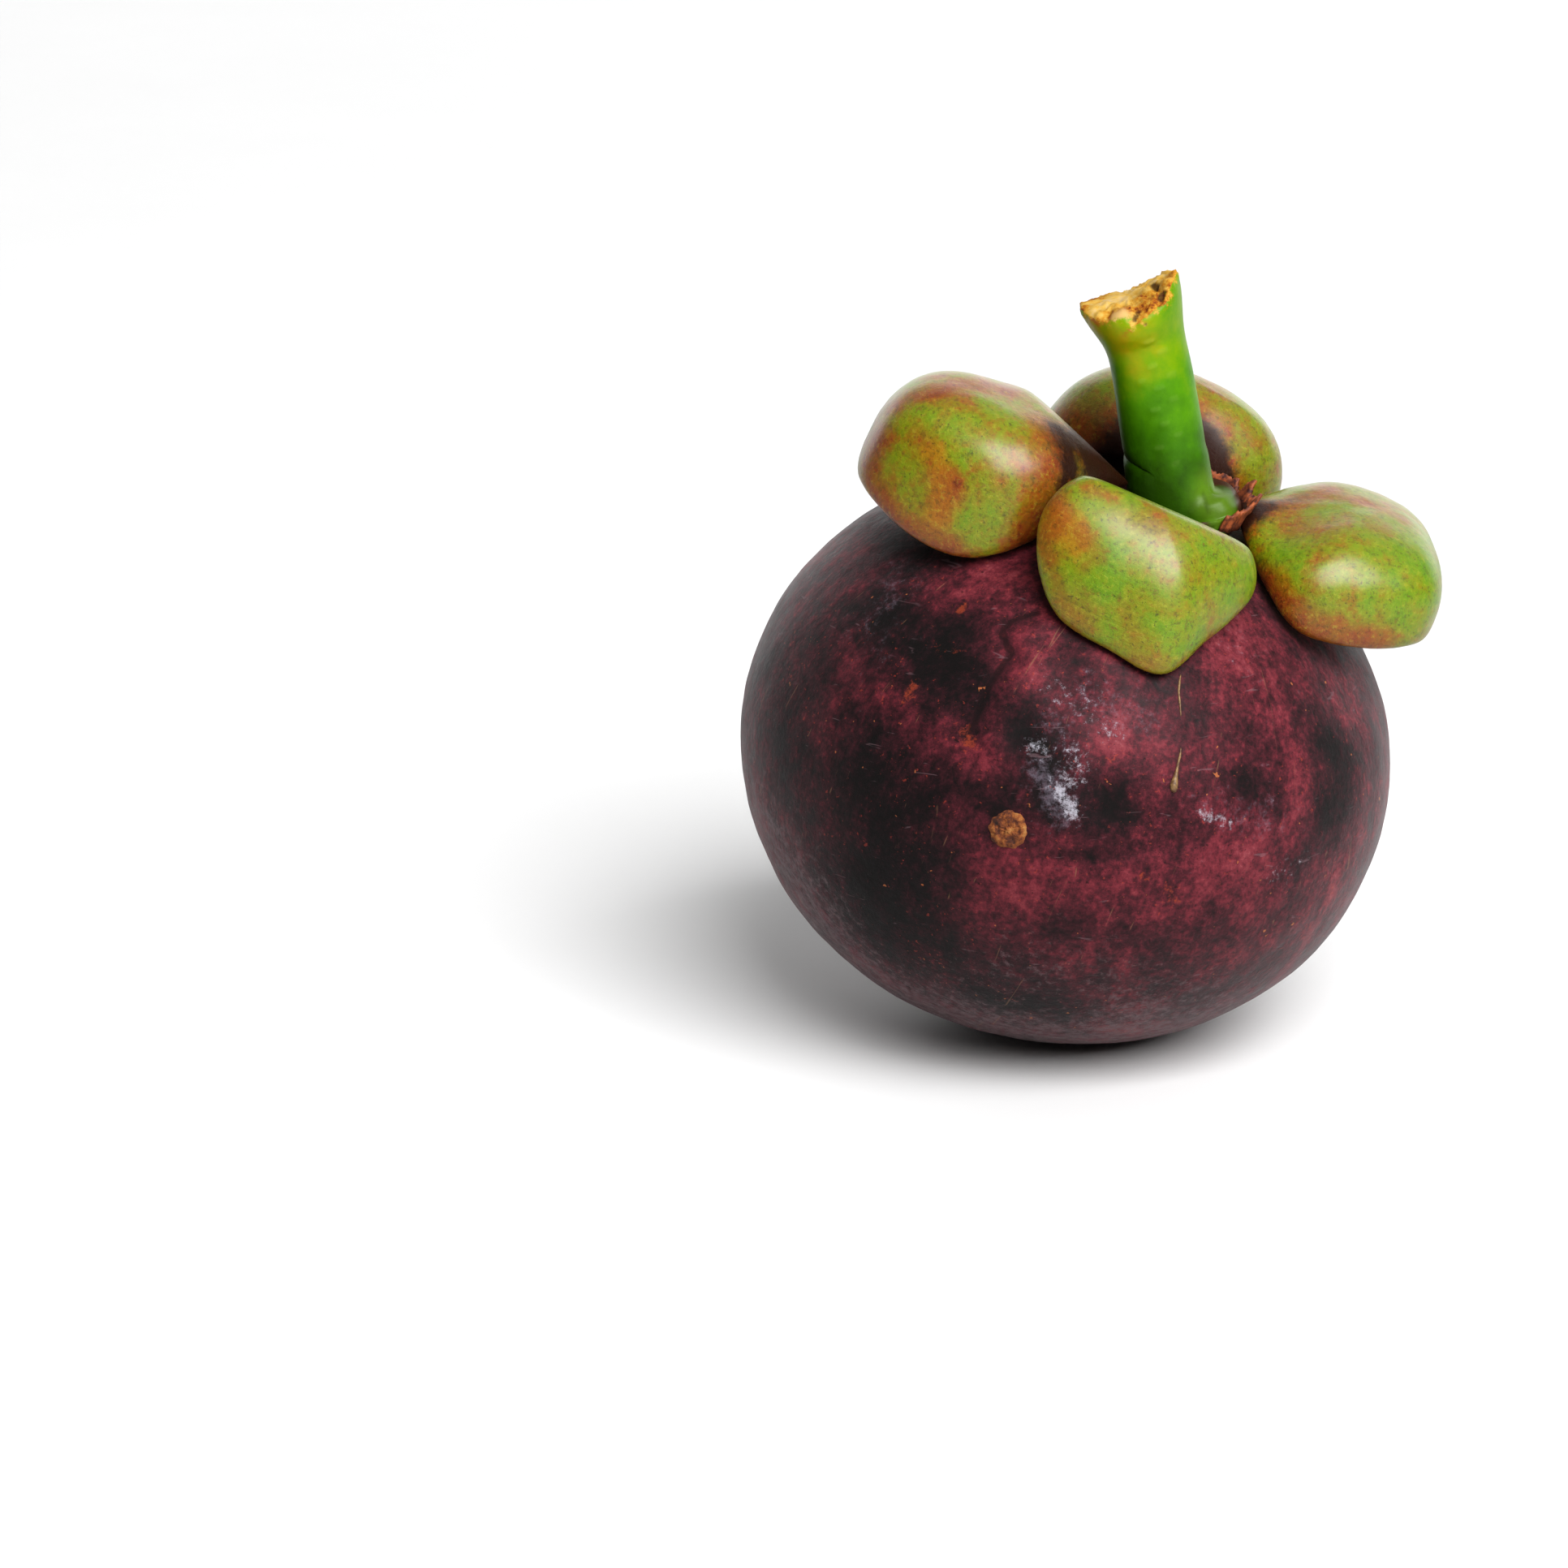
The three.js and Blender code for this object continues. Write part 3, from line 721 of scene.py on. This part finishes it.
scab_place, scab_facing = landing(rind_skin, *SCAB_AT)
bpy.ops.mesh.primitive_circle_add(
    vertices=SCAB_SIDES, radius=SCAB_RADIUS, fill_type="NGON", location=scab_place - scab_facing * SCAB_SUNK,
    rotation=scab_facing.to_track_quat("Z", "Y").to_euler(),
)
scab = settled("rind_scab")
bpy.ops.object.mode_set(mode="EDIT")
for step, rise in SCAB_RINGS:
    bpy.ops.mesh.inset(thickness=step * MM, depth=0)
    bpy.ops.transform.translate(value=scab_facing * rise * MM)
bpy.ops.mesh.poke()
bpy.ops.object.mode_set(mode="OBJECT")
shaken = random.Random(SCAB_SEED)
for vertex in scab.data.vertices:
    away = vertex.co - scab_place
    if away.length > SCAB_MIDDLE * MM:
        thrown = Vector([shaken.uniform(-1, 1) for _ in "xyz"])
        vertex.co += (thrown * SHAKE + scab_facing * LIFT) * MM
apply(scab, "SUBSURF", levels=2)
bpy.ops.object.shade_smooth()
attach(scab, "root")
report(scab)

# %% [markdown]
# ## A run of dried latex
# Cut mangosteens weep a yellow latex. One drop ran down from the calyx and dried in two thin trails with a
# bead at the end. Each trail is a small circle extruded from place to place along the rind.

# %% The latex trails
TRAILS = {  # each place, with the half width in mm there
    "latex_trail_upper": [
        (1455, 830, 0.05), (1453, 842, 0.12), (1452, 855, 0.1), (1454, 868, 0.13), (1455, 884, 0.06),
    ],
    "latex_trail_lower": [
        (1455, 920, 0.05), (1454, 932, 0.13), (1451, 943, 0.12), (1449, 954, 0.16), (1447, 963, 0.34),
        (1446, 970, 0.42), (1446, 977, 0.26),
    ],
}
TRAIL_SIDES = 10
trails = []
for name, line in TRAILS.items():
    first, _ = landing(rind_skin, *line[0][:2])
    second, _ = landing(rind_skin, *line[1][:2])
    bpy.ops.mesh.primitive_circle_add(
        vertices=TRAIL_SIDES, radius=line[0][2] * MM, fill_type="NGON", location=first,
        rotation=(second - first).to_track_quat("Z", "Y").to_euler(),
    )
    trail = settled(name)
    bpy.ops.object.mode_set(mode="EDIT")
    here = first
    for (_, _, before), (across, down, half_width) in zip(line, line[1:]):
        there, _ = landing(rind_skin, across, down)
        bpy.ops.mesh.extrude_region_move(TRANSFORM_OT_translate={"value": there - here})
        bpy.ops.transform.resize(value=[half_width / before] * 3, center_override=there)
        here = there
    bpy.ops.mesh.select_all(action="SELECT")
    bpy.ops.mesh.normals_make_consistent(inside=False)
    bpy.ops.object.mode_set(mode="OBJECT")
    apply(trail, "SUBSURF", levels=1)
    bpy.ops.object.shade_smooth()
    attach(trail, "root")
    trails.append(trail)
    report(trail)

# %% [markdown]
# ## Mixing materials
# Every finish is a small tree of nodes. `node` adds one with its settings, `feed` gives a node its values and
# links, `weighed` makes a weighted sum, and `linear` turns a hex colour into the linear values that Blender
# mixes in. `skin_colour` works as a painter would. Grains, which are noise, and brushed strokes add up to a
# tone, and the tone picks a colour from a strip. Coats of other colours go over it, each through a mask that
# is a sum of grains and strokes too, so every patch gets a ragged natural edge.

# %% Helpers for materials
def linear(hex_colour):
    parts = [int(hex_colour[i:i + 2], 16) / 255 for i in (1, 3, 5)]
    return tuple(c / 12.92 if c <= 0.04045 else ((c + 0.055) / 1.055) ** 2.4 for c in parts) + (1,)


def feed(tree, fed, inputs):
    """Gives each named or numbered input of a node its value, or a link from another node's output."""
    for socket, value in inputs.items():
        if isinstance(value, bpy.types.NodeSocket):
            tree.links.new(value, fed.inputs[socket])
        else:
            fed.inputs[socket].default_value = value


def node(tree, kind, inputs=None, out=0, stops=(), **settings):
    """Adds a node with its settings, its inputs' values or links, and a colour strip's stops."""
    made = tree.nodes.new("ShaderNode" + kind)
    for name, value in settings.items():
        setattr(made, name, value)
    feed(tree, made, inputs or {})
    for _ in stops[2:]:
        made.color_ramp.elements.new(0.5)
    for element, (place, colour) in zip(made.color_ramp.elements if stops else (), stops):
        element.position, element.color = place, linear(colour)
    return made.outputs[out]


def new_material(name):
    material = bpy.data.materials.new(name)
    material.use_nodes = True
    return material, material.node_tree, material.node_tree.nodes["Principled BSDF"]


def weighed(tree, total, sources, weights):
    """A number or an output, plus each named source times its weight."""
    for name, weight in weights.items():
        total = node(tree, "Math", {0: sources[name], 1: weight, 2: total}, operation="MULTIPLY_ADD")
    return total


def skin_colour(tree, grains, strokes, start, tone, stops, coats):
    """`tone` and each coat's first item give weights by the names of grains, which average 0.5, and of
    strokes. A coat goes from clear to its greatest cover between two values of its sum."""
    sums = []
    for total, parts in [(start, tone)] + [(0, coat[0]) for coat in coats]:
        total -= 0.5 * sum(weight for name, weight in parts.items() if name in grains)
        sums.append(weighed(tree, total, grains | strokes, parts))
    colour = node(tree, "ValToRGB", {0: sums[0]}, stops=stops)
    for total, (_, clear, covered, cover, over) in zip(sums[1:], coats):
        reach = {0: total, 1: clear, 2: covered, 4: cover}
        mask = node(tree, "MapRange", reach, interpolation_type="SMOOTHSTEP")
        colour = node(tree, "Mix", {0: mask, 6: colour, 7: linear(over)}, out=2, data_type="RGBA")
    return colour


# %% [markdown]
# ### Mangosteen rind
# Smooth leathery peel under a thin natural wax: wine purple going black in patches, with fine streaks that
# run from the blossom end to the stem. It isn't glossy, but at a flat angle it mirrors the white room. Its
# lower half is greyed by a painted reflection of the white table.

# %% Where the rind's grains are read
RIND_GRAINS = {  # where it is read, size in mm, detail, roughness, distortion
    "mottles": ("place", 6.5, 6, 0.6, 0), "blotches": ("place", 1.7, 8, 0.7, 0),
    "specks": ("place", 0.55, 5, 0.7, 0), "streaks": ("upward", 1.5, 6, 0.65, 0),
    "crust": ("place", 0.6, 7, 0.8, 0), "table_reflection_grain": ("place", 0.9, 8, 0.75, 0),
    "sparks": ("place", 0.45, 3, 0.6, 0), "pits": ("place", 0.42, 3, 0.6, 0),
    "dots": ("place", 0.8, 2, 0.55, 0), "scratches": ("upward", 0.9, 2, 0.55, 1.5),
    "scuffs": ("across", 0.5, 2, 0.55, 0.8),
}
GIRTH = 30 * MM  # the rind's radius, over which streaks are laid round it
ALONG, ACROSS = 0.12, 0.15  # grains read so much slower one way come out as streaks and scratches

peel, tree, shader = new_material("mangosteen_rind_leathery")
place = node(tree, "TexCoord", out=3)
turned_back = {"Vector": place, "Location": fruit_centre, "Rotation": fruit_turn}
grown = node(tree, "Mapping", turned_back, vector_type="TEXTURE")
level = node(tree, "VectorMath", {0: grown, 1: (1, 1, 0)}, operation="MULTIPLY")
around = node(tree, "VectorMath", {0: level}, operation="NORMALIZE")
around = node(tree, "VectorMath", {0: around, 1: (GIRTH, GIRTH, 0)}, operation="MULTIPLY")
upward = node(tree, "VectorMath", {0: grown, 1: (0, 0, ALONG), 2: around}, operation="MULTIPLY_ADD")
across = node(tree, "VectorMath", {0: place, 1: (ACROSS, ACROSS, 1.0)}, operation="MULTIPLY")
read_at = {"place": place, "upward": upward, "across": across}
grains = {
    name: node(tree, "TexNoise", {"Vector": read_at[where], "Scale": 1 / (size * MM), "Detail": detail,
                                  "Roughness": rough, "Distortion": bent})
    for name, (where, size, detail, rough, bent) in RIND_GRAINS.items()
}
print("rind grains:", ", ".join(grains))

# %% Rind material
# painted reflection of the white table: the rind is greyed from just above its middle downwards
TABLE_REFLECTION_FADE = {1: 2 * MM, 2: -16 * MM}  # heights over the middle: none, whole
PEEL_DULLNESS = {1: 0.3, 2: 0.7, 3: 0.42, 4: 0.6}  # from a grain's low and high to roughness

strokes = {mask: node(tree, "Attribute", attribute_name=mask, out=2) for mask in RIND_STROKES}
height = node(tree, "SeparateXYZ", {0: grown}, out=2)
strokes["low"] = node(tree, "MapRange", {0: height} | TABLE_REFLECTION_FADE, interpolation_type="SMOOTHSTEP")
colour = skin_colour(
    tree, grains, strokes, 0.475,
    {"mottles": 1.05, "blotches": 0.85, "specks": 0.9, "streaks": 0.38, "blush": 0.22, "bruise_and_painted_shadow": -0.42},
    [(0.0, "#090505"), (0.18, "#16080b"), (0.36, "#2c0f15"), (0.52, "#42171f"), (0.68, "#5e212a"),
     (0.84, "#6f2f36"), (1.0, "#84484c")],
    [
        # painted reflection of the white table over the lower half, kept off the painted shadow
        ({"low": 1, "table_reflection_grain": 4, "bruise_and_painted_shadow": -1}, 0.5, 1.4, 0.85, "#5c484b"),
        ({"haze": 1, "crust": 2.4, "blotches": 1.6}, 0.35, 1.1, 0.5, "#67606a"),
        ({"sparks": 1, "mottles": 0.35}, 0.16, 0.23, 0.45, "#8c372b"),
        ({"pits": 1}, 0.14, 0.2, 0.65, "#0d0507"),
        ({"scratches": 1}, 0.2, 0.25, 0.4, "#755741"),
        ({"scuffs": 1}, 0.19, 0.25, 0.3, "#725c61"),
        ({"dots": 1}, 0.235, 0.27, 0.8, "#925734"),
        ({"cork": 1, "specks": 2.4, "blotches": 1.2}, 0.4, 0.85, 0.75, "#78331d"),
        ({"wax": 1, "crust": 3}, 0.45, 1.05, 0.8, "#9a98a0"),
        # painted shade, near black, along the crease and the step
        ({"fold_shade": 1, "specks": 1, "blotches": 0.6}, 0.8, 0.98, 0.7, "#070303"),
    ])
uneven = node(tree, "MapRange", {0: grains["blotches"]} | PEEL_DULLNESS)
uneven = weighed(tree, uneven, strokes, {"bruise_and_painted_shadow": 0.25})
relief = weighed(tree, grains["specks"], grains, {"blotches": 1.5, "streaks": 0.5})
bump = node(tree, "Bump", {"Height": relief, "Strength": 0.7, "Distance": 0.06 * MM})
feed(tree, shader, {
    "Base Color": colour, "Roughness": uneven, "Normal": bump,
    "IOR": 1.45, "Specular IOR Level": 0.15, "Sheen Weight": 0.09,
})
rind.data.materials.append(peel)
print(peel.name, "nodes:", len(tree.nodes))

# %% [markdown]
# ### Sepal flesh
# Thick, waxy and firm like an unripe plum: yellow-green, freckled with brown-red, browner at its margin and
# purple-brown and wrinkled at its base. The wax gives it a broad white sheen. Each sepal ripened a little
# differently, so the same recipe is mixed four times, with a tone of its own to start from.

# %% Sepal materials
SEPAL_TONES = {"sepal_front": 0.71, "sepal_right": 0.63, "sepal_left": 0.6, "sepal_back": 0.58}
SEPAL_GRAINS = {  # where it is read, size in mm, detail, roughness, distortion
    "patches": ("place", 6.0, 8, 0.6, 0), "blotches": ("place", 1.5, 8, 0.68, 0),
    "freckles": ("place", 0.42, 5, 0.7, 0), "flecks": ("place", 0.55, 5, 0.75, 0),
    "dots": ("place", 0.35, 3, 0.55, 0), "wrinkles": ("outward", 0.9, 4, 0.55, 0.6),
}
FLESH_DULLNESS = {1: 0.3, 2: 0.7, 3: 0.36, 4: 0.48}  # from a grain's low and high to roughness
# the wax thins where the dark and base masks lie, which hold painted shade as well as dark tissue
WAX_COVER = {3: 0.8, 4: 0.06}  # on fresh flesh, and where it has turned dark

for name, start in SEPAL_TONES.items():
    flesh, tree, shader = new_material("waxy_flesh_of_" + name)
    place = node(tree, "TexCoord", out=3)
    turned_back = {"Vector": place, "Location": STEM_FOOT, "Rotation": fruit_turn}
    grown = node(tree, "Mapping", turned_back, vector_type="TEXTURE")
    level = node(tree, "VectorMath", {0: grown, 1: (1, 1, 0)}, operation="MULTIPLY")
    reach = node(tree, "VectorMath", {0: level}, out=1, operation="LENGTH")
    height = node(tree, "SeparateXYZ", {0: grown}, out=2)
    outward = node(tree, "CombineXYZ", {0: reach, 2: height})
    read_at = {"place": place, "outward": outward}
    grains = {
        grain: node(tree, "TexNoise", {"Vector": read_at[where], "Scale": 1 / (size * MM), "Detail": detail,
                                       "Roughness": rough, "Distortion": bent})
        for grain, (where, size, detail, rough, bent) in SEPAL_GRAINS.items()
    }
    strokes = {mask: node(tree, "Attribute", attribute_name=mask, out=2)
               for mask in ("green", "brown", "gold", "dark", "edge", "margin", "base")}
    strokes["creases"] = node(tree, "Math", {0: grains["wrinkles"], 1: strokes["base"]}, operation="MULTIPLY")
    colour = skin_colour(
        tree, grains, strokes, start,
        {"patches": 0.75, "blotches": 0.8, "freckles": 0.4, "green": 0.17, "brown": -0.25, "margin": -0.12,
         "base": -0.65, "creases": 0.9},
        [(0.0, "#230b07"), (0.14, "#4f1a0c"), (0.28, "#76360e"), (0.4, "#7d4f0b"), (0.52, "#746004"),
         (0.66, "#6c7301"), (0.82, "#5f7800"), (1.0, "#4f7300")],
        [
            ({"gold": 1, "blotches": 2}, 0.3, 0.9, 0.7, "#935c07"),
            ({"brown": 1, "blotches": 2, "freckles": 1}, 0.25, 0.85, 0.5, "#7a3c0b"),
            ({"flecks": 1}, 0.03, 0.16, 0.35, "#97922b"),
            ({"flecks": -1}, 0.03, 0.14, 0.5, "#3f3506"),
            ({"freckles": 1, "blotches": 0.5, "patches": -0.6}, 0.07, 0.19, 0.5, "#693816"),
            ({"dots": 1}, 0.12, 0.2, 0.55, "#251c07"),
            ({"edge": 1}, 0.3, 0.8, 0.5, "#8a6a28"),
            # near-black purple-brown over the bases and the dark strokes: the tissue's colour and painted
            # shade
            ({"dark": 1, "base": 1.0, "blotches": 1.2, "freckles": 0.6, "wrinkles": 0.8},
             0.14, 0.95, 0.98, "#251009"),
        ])
    uneven = node(tree, "MapRange", {0: grains["blotches"]} | FLESH_DULLNESS)
    relief = weighed(tree, grains["flecks"], grains, {"wrinkles": 1.2, "blotches": 0.8})
    bump = node(tree, "Bump", {"Height": relief, "Strength": 1.0, "Distance": 0.11 * MM})
    waxed = node(tree, "Math", {0: strokes["dark"], 1: strokes["base"]}, operation="MAXIMUM")
    waxed = node(tree, "MapRange", {0: waxed} | WAX_COVER)
    feed(tree, shader, {
        "Base Color": colour, "Roughness": uneven, "Normal": bump,
        "Coat Weight": waxed, "Coat Roughness": 0.35, "IOR": 1.46, "Specular IOR Level": 0.14,
        "Subsurface Weight": 0.06, "Subsurface Radius": (2.0, 1.6, 0.5), "Subsurface Scale": MM,
    })
    sepals[name].data.materials.append(flesh)
    print(flesh.name, "nodes:", len(tree.nodes))

# %% [markdown]
# ### Stem
# Fresh green stalk with a smooth cuticle, yellower towards the break, with a painted highlight down its
# middle. Its collar turned purple-brown with the sepals, but for one green shoulder, and a line of painted
# shade runs down the seam beside it. The broken end is dry fibre, tan with dark pits.

# %% Stem material
STEM_GRAINS = {  # size in mm, detail, roughness
    "patches": (4.0, 6, 0.55), "fibres": (0.8, 7, 0.75), "pores": (0.9, 5, 0.6),
}
TOP_FADE, FOOT_FADE = {1: 60 * MM, 2: 70 * MM}, {1: 60 * MM, 2: 51 * MM}  # heights: none, whole
BREAK_FADE = {1: 1.05, 2: 1.35}  # of the break's mask frayed by fibres: none, whole
STEM_DULLNESS = {3: 0.38, 4: 0.78}  # roughness of the skin, and of the break

stalk, tree, shader = new_material("green_stalk_cuticle")
place = node(tree, "TexCoord", out=3)
height = node(tree, "SeparateXYZ", {0: place}, out=2)
grains = {
    name: node(tree, "TexNoise", {"Vector": place, "Scale": 1 / (size * MM), "Detail": detail,
                                  "Roughness": rough})
    for name, (size, detail, rough) in STEM_GRAINS.items()
}
strokes = {mask: node(tree, "Attribute", attribute_name=mask, out=2)
           for mask in ("broken", *STEM_STROKES, "collar")}
strokes["top"] = node(tree, "MapRange", {0: height} | TOP_FADE, interpolation_type="SMOOTHSTEP")
strokes["foot"] = node(tree, "MapRange", {0: height} | FOOT_FADE, interpolation_type="SMOOTHSTEP")
# the tone is lifted by yellowing and by a painted highlight
green = skin_colour(
    tree, grains, strokes, 0.45, {"patches": 0.8, "fibres": 0.25, "yellowing_and_highlight": 0.34, "top": 0.24, "foot": -0.42},
    [(0.0, "#244100"), (0.3, "#386600"), (0.52, "#487900"), (0.72, "#688400"), (0.88, "#828402"),
     (1.0, "#948006")],
    [
        ({"shoulder": 1}, 0.1, 0.9, 0.35, "#708d29"),
        ({"collar": 1, "patches": 1.2, "shoulder": -1.1}, 0.3, 0.8, 0.9, "#3a1b18"),
        # painted shade, near black, along the seam
        ({"seam": 1}, 0.2, 0.8, 0.75, "#182302"),
        ({"dash": 1}, 0.3, 0.8, 0.05, "#9fb16a"),
        ({"scorch": 1, "fibres": 1.5}, 0.3, 0.8, 0.8, "#944816"),
    ])
torn = skin_colour(
    tree, grains, strokes, 0.5, {"fibres": 1, "patches": 1.2},
    [(0.24, "#401f0c"), (0.32, "#884a15"), (0.42, "#a87925"), (0.58, "#b7964a"), (0.8, "#b19a71")],
    [({"knob": 1}, 0.1, 0.9, 1.0, "#b0905c"), ({"pits": 1}, 0.3, 0.8, 0.85, "#251108")])
frayed = weighed(tree, strokes["broken"], grains, {"fibres": 1.5})
break_edge = node(tree, "MapRange", {0: frayed} | BREAK_FADE, interpolation_type="SMOOTHSTEP")
colour = node(tree, "Mix", {0: break_edge, 6: green, 7: torn}, out=2, data_type="RGBA")
uneven = node(tree, "MapRange", {0: break_edge} | STEM_DULLNESS)
bump = node(tree, "Bump", {"Height": grains["pores"], "Strength": 0.5, "Distance": 0.07 * MM})
feed(tree, shader, {
    "Base Color": colour, "Roughness": uneven, "Normal": bump, "IOR": 1.45, "Specular IOR Level": 0.2,
})
stem.data.materials.append(stalk)
print(stalk.name, "nodes:", len(tree.nodes))

# %% [markdown]
# ### Corky scab
# Cork is dull and crumbly. It grew ring by ring, so its light and dark run round its middle.

# %% Scab material
cork_ring, tree, shader = new_material("corky_scab")
moved_back = {"Vector": node(tree, "TexCoord", out=3), "Location": scab_place}
place = node(tree, "Mapping", moved_back, vector_type="TEXTURE")
rings = node(tree, "TexWave", {"Vector": place, "Scale": 0.3 / MM, "Distortion": 6, "Detail": 4,
                               "Detail Scale": 1.2},
             out=1, wave_type="RINGS", rings_direction="SPHERICAL")
crumbs = node(tree, "TexNoise", {"Vector": place, "Scale": 1 / (1.1 * MM), "Detail": 7, "Roughness": 0.75})
colour = skin_colour(
    tree, {"rings": rings, "crumbs": crumbs}, {}, 0.47, {"rings": 0.2, "crumbs": 2.6},
    [(0.1, "#1c0b07"), (0.35, "#4d230d"), (0.6, "#7e461b"), (0.9, "#996d3b")], [])
bump = node(tree, "Bump", {"Height": crumbs, "Strength": 0.9, "Distance": 0.4 * MM})
feed(tree, shader, {"Base Color": colour, "Normal": bump, "Roughness": 0.85})
scab.data.materials.append(cork_ring)
print(cork_ring.name, "nodes:", len(tree.nodes))

# %% [markdown]
# ### Small finishes
# The torn ring is red-brown and dry, the latex a dull amber gum, the stigma brown wood, and the table a matt
# white board. Each has a fine grain in two colours.

# %% Ring, latex, wood and table
FINISHES = {  # pieces: name, grain size in mm, where dark and light meet, dark, light, roughness
    (ring,): ("dry_torn_tissue", 0.9, (0.38, 0.62), "#371411", "#99512a", 0.7),
    tuple(trails): ("dried_latex_gum", 0.5, (0.38, 0.58), "#4c2f19", "#7b613c", 0.5),
    (rosette,): ("dried_stigma_wood", 1.2, (0.4, 0.65), "#291b15", "#4e3a2a", 0.8),
    (floor,): ("white_board", 40, (0.0, 1.0), "#d2d2d2", "#d6d6d6", 0.6),
}
for pieces, (name, size, (low, high), dark, light, roughness) in FINISHES.items():
    finish, tree, shader = new_material(name)
    place = node(tree, "TexCoord", out=3)
    grain = node(tree, "TexNoise", {"Vector": place, "Scale": 1 / (size * MM), "Detail": 6,
                                    "Roughness": 0.65})
    colour = node(tree, "ValToRGB", {0: grain}, stops=[(low, dark), (high, light)])
    feed(tree, shader, {"Base Color": colour, "Roughness": roughness})
    if floor not in pieces:
        bump = node(tree, "Bump", {"Height": grain, "Strength": 0.8, "Distance": 0.1 * MM})
        feed(tree, shader, {"Normal": bump})
    for piece in pieces:
        piece.data.materials.append(finish)
print("finishes:", [finish[0] for finish in FINISHES.values()])
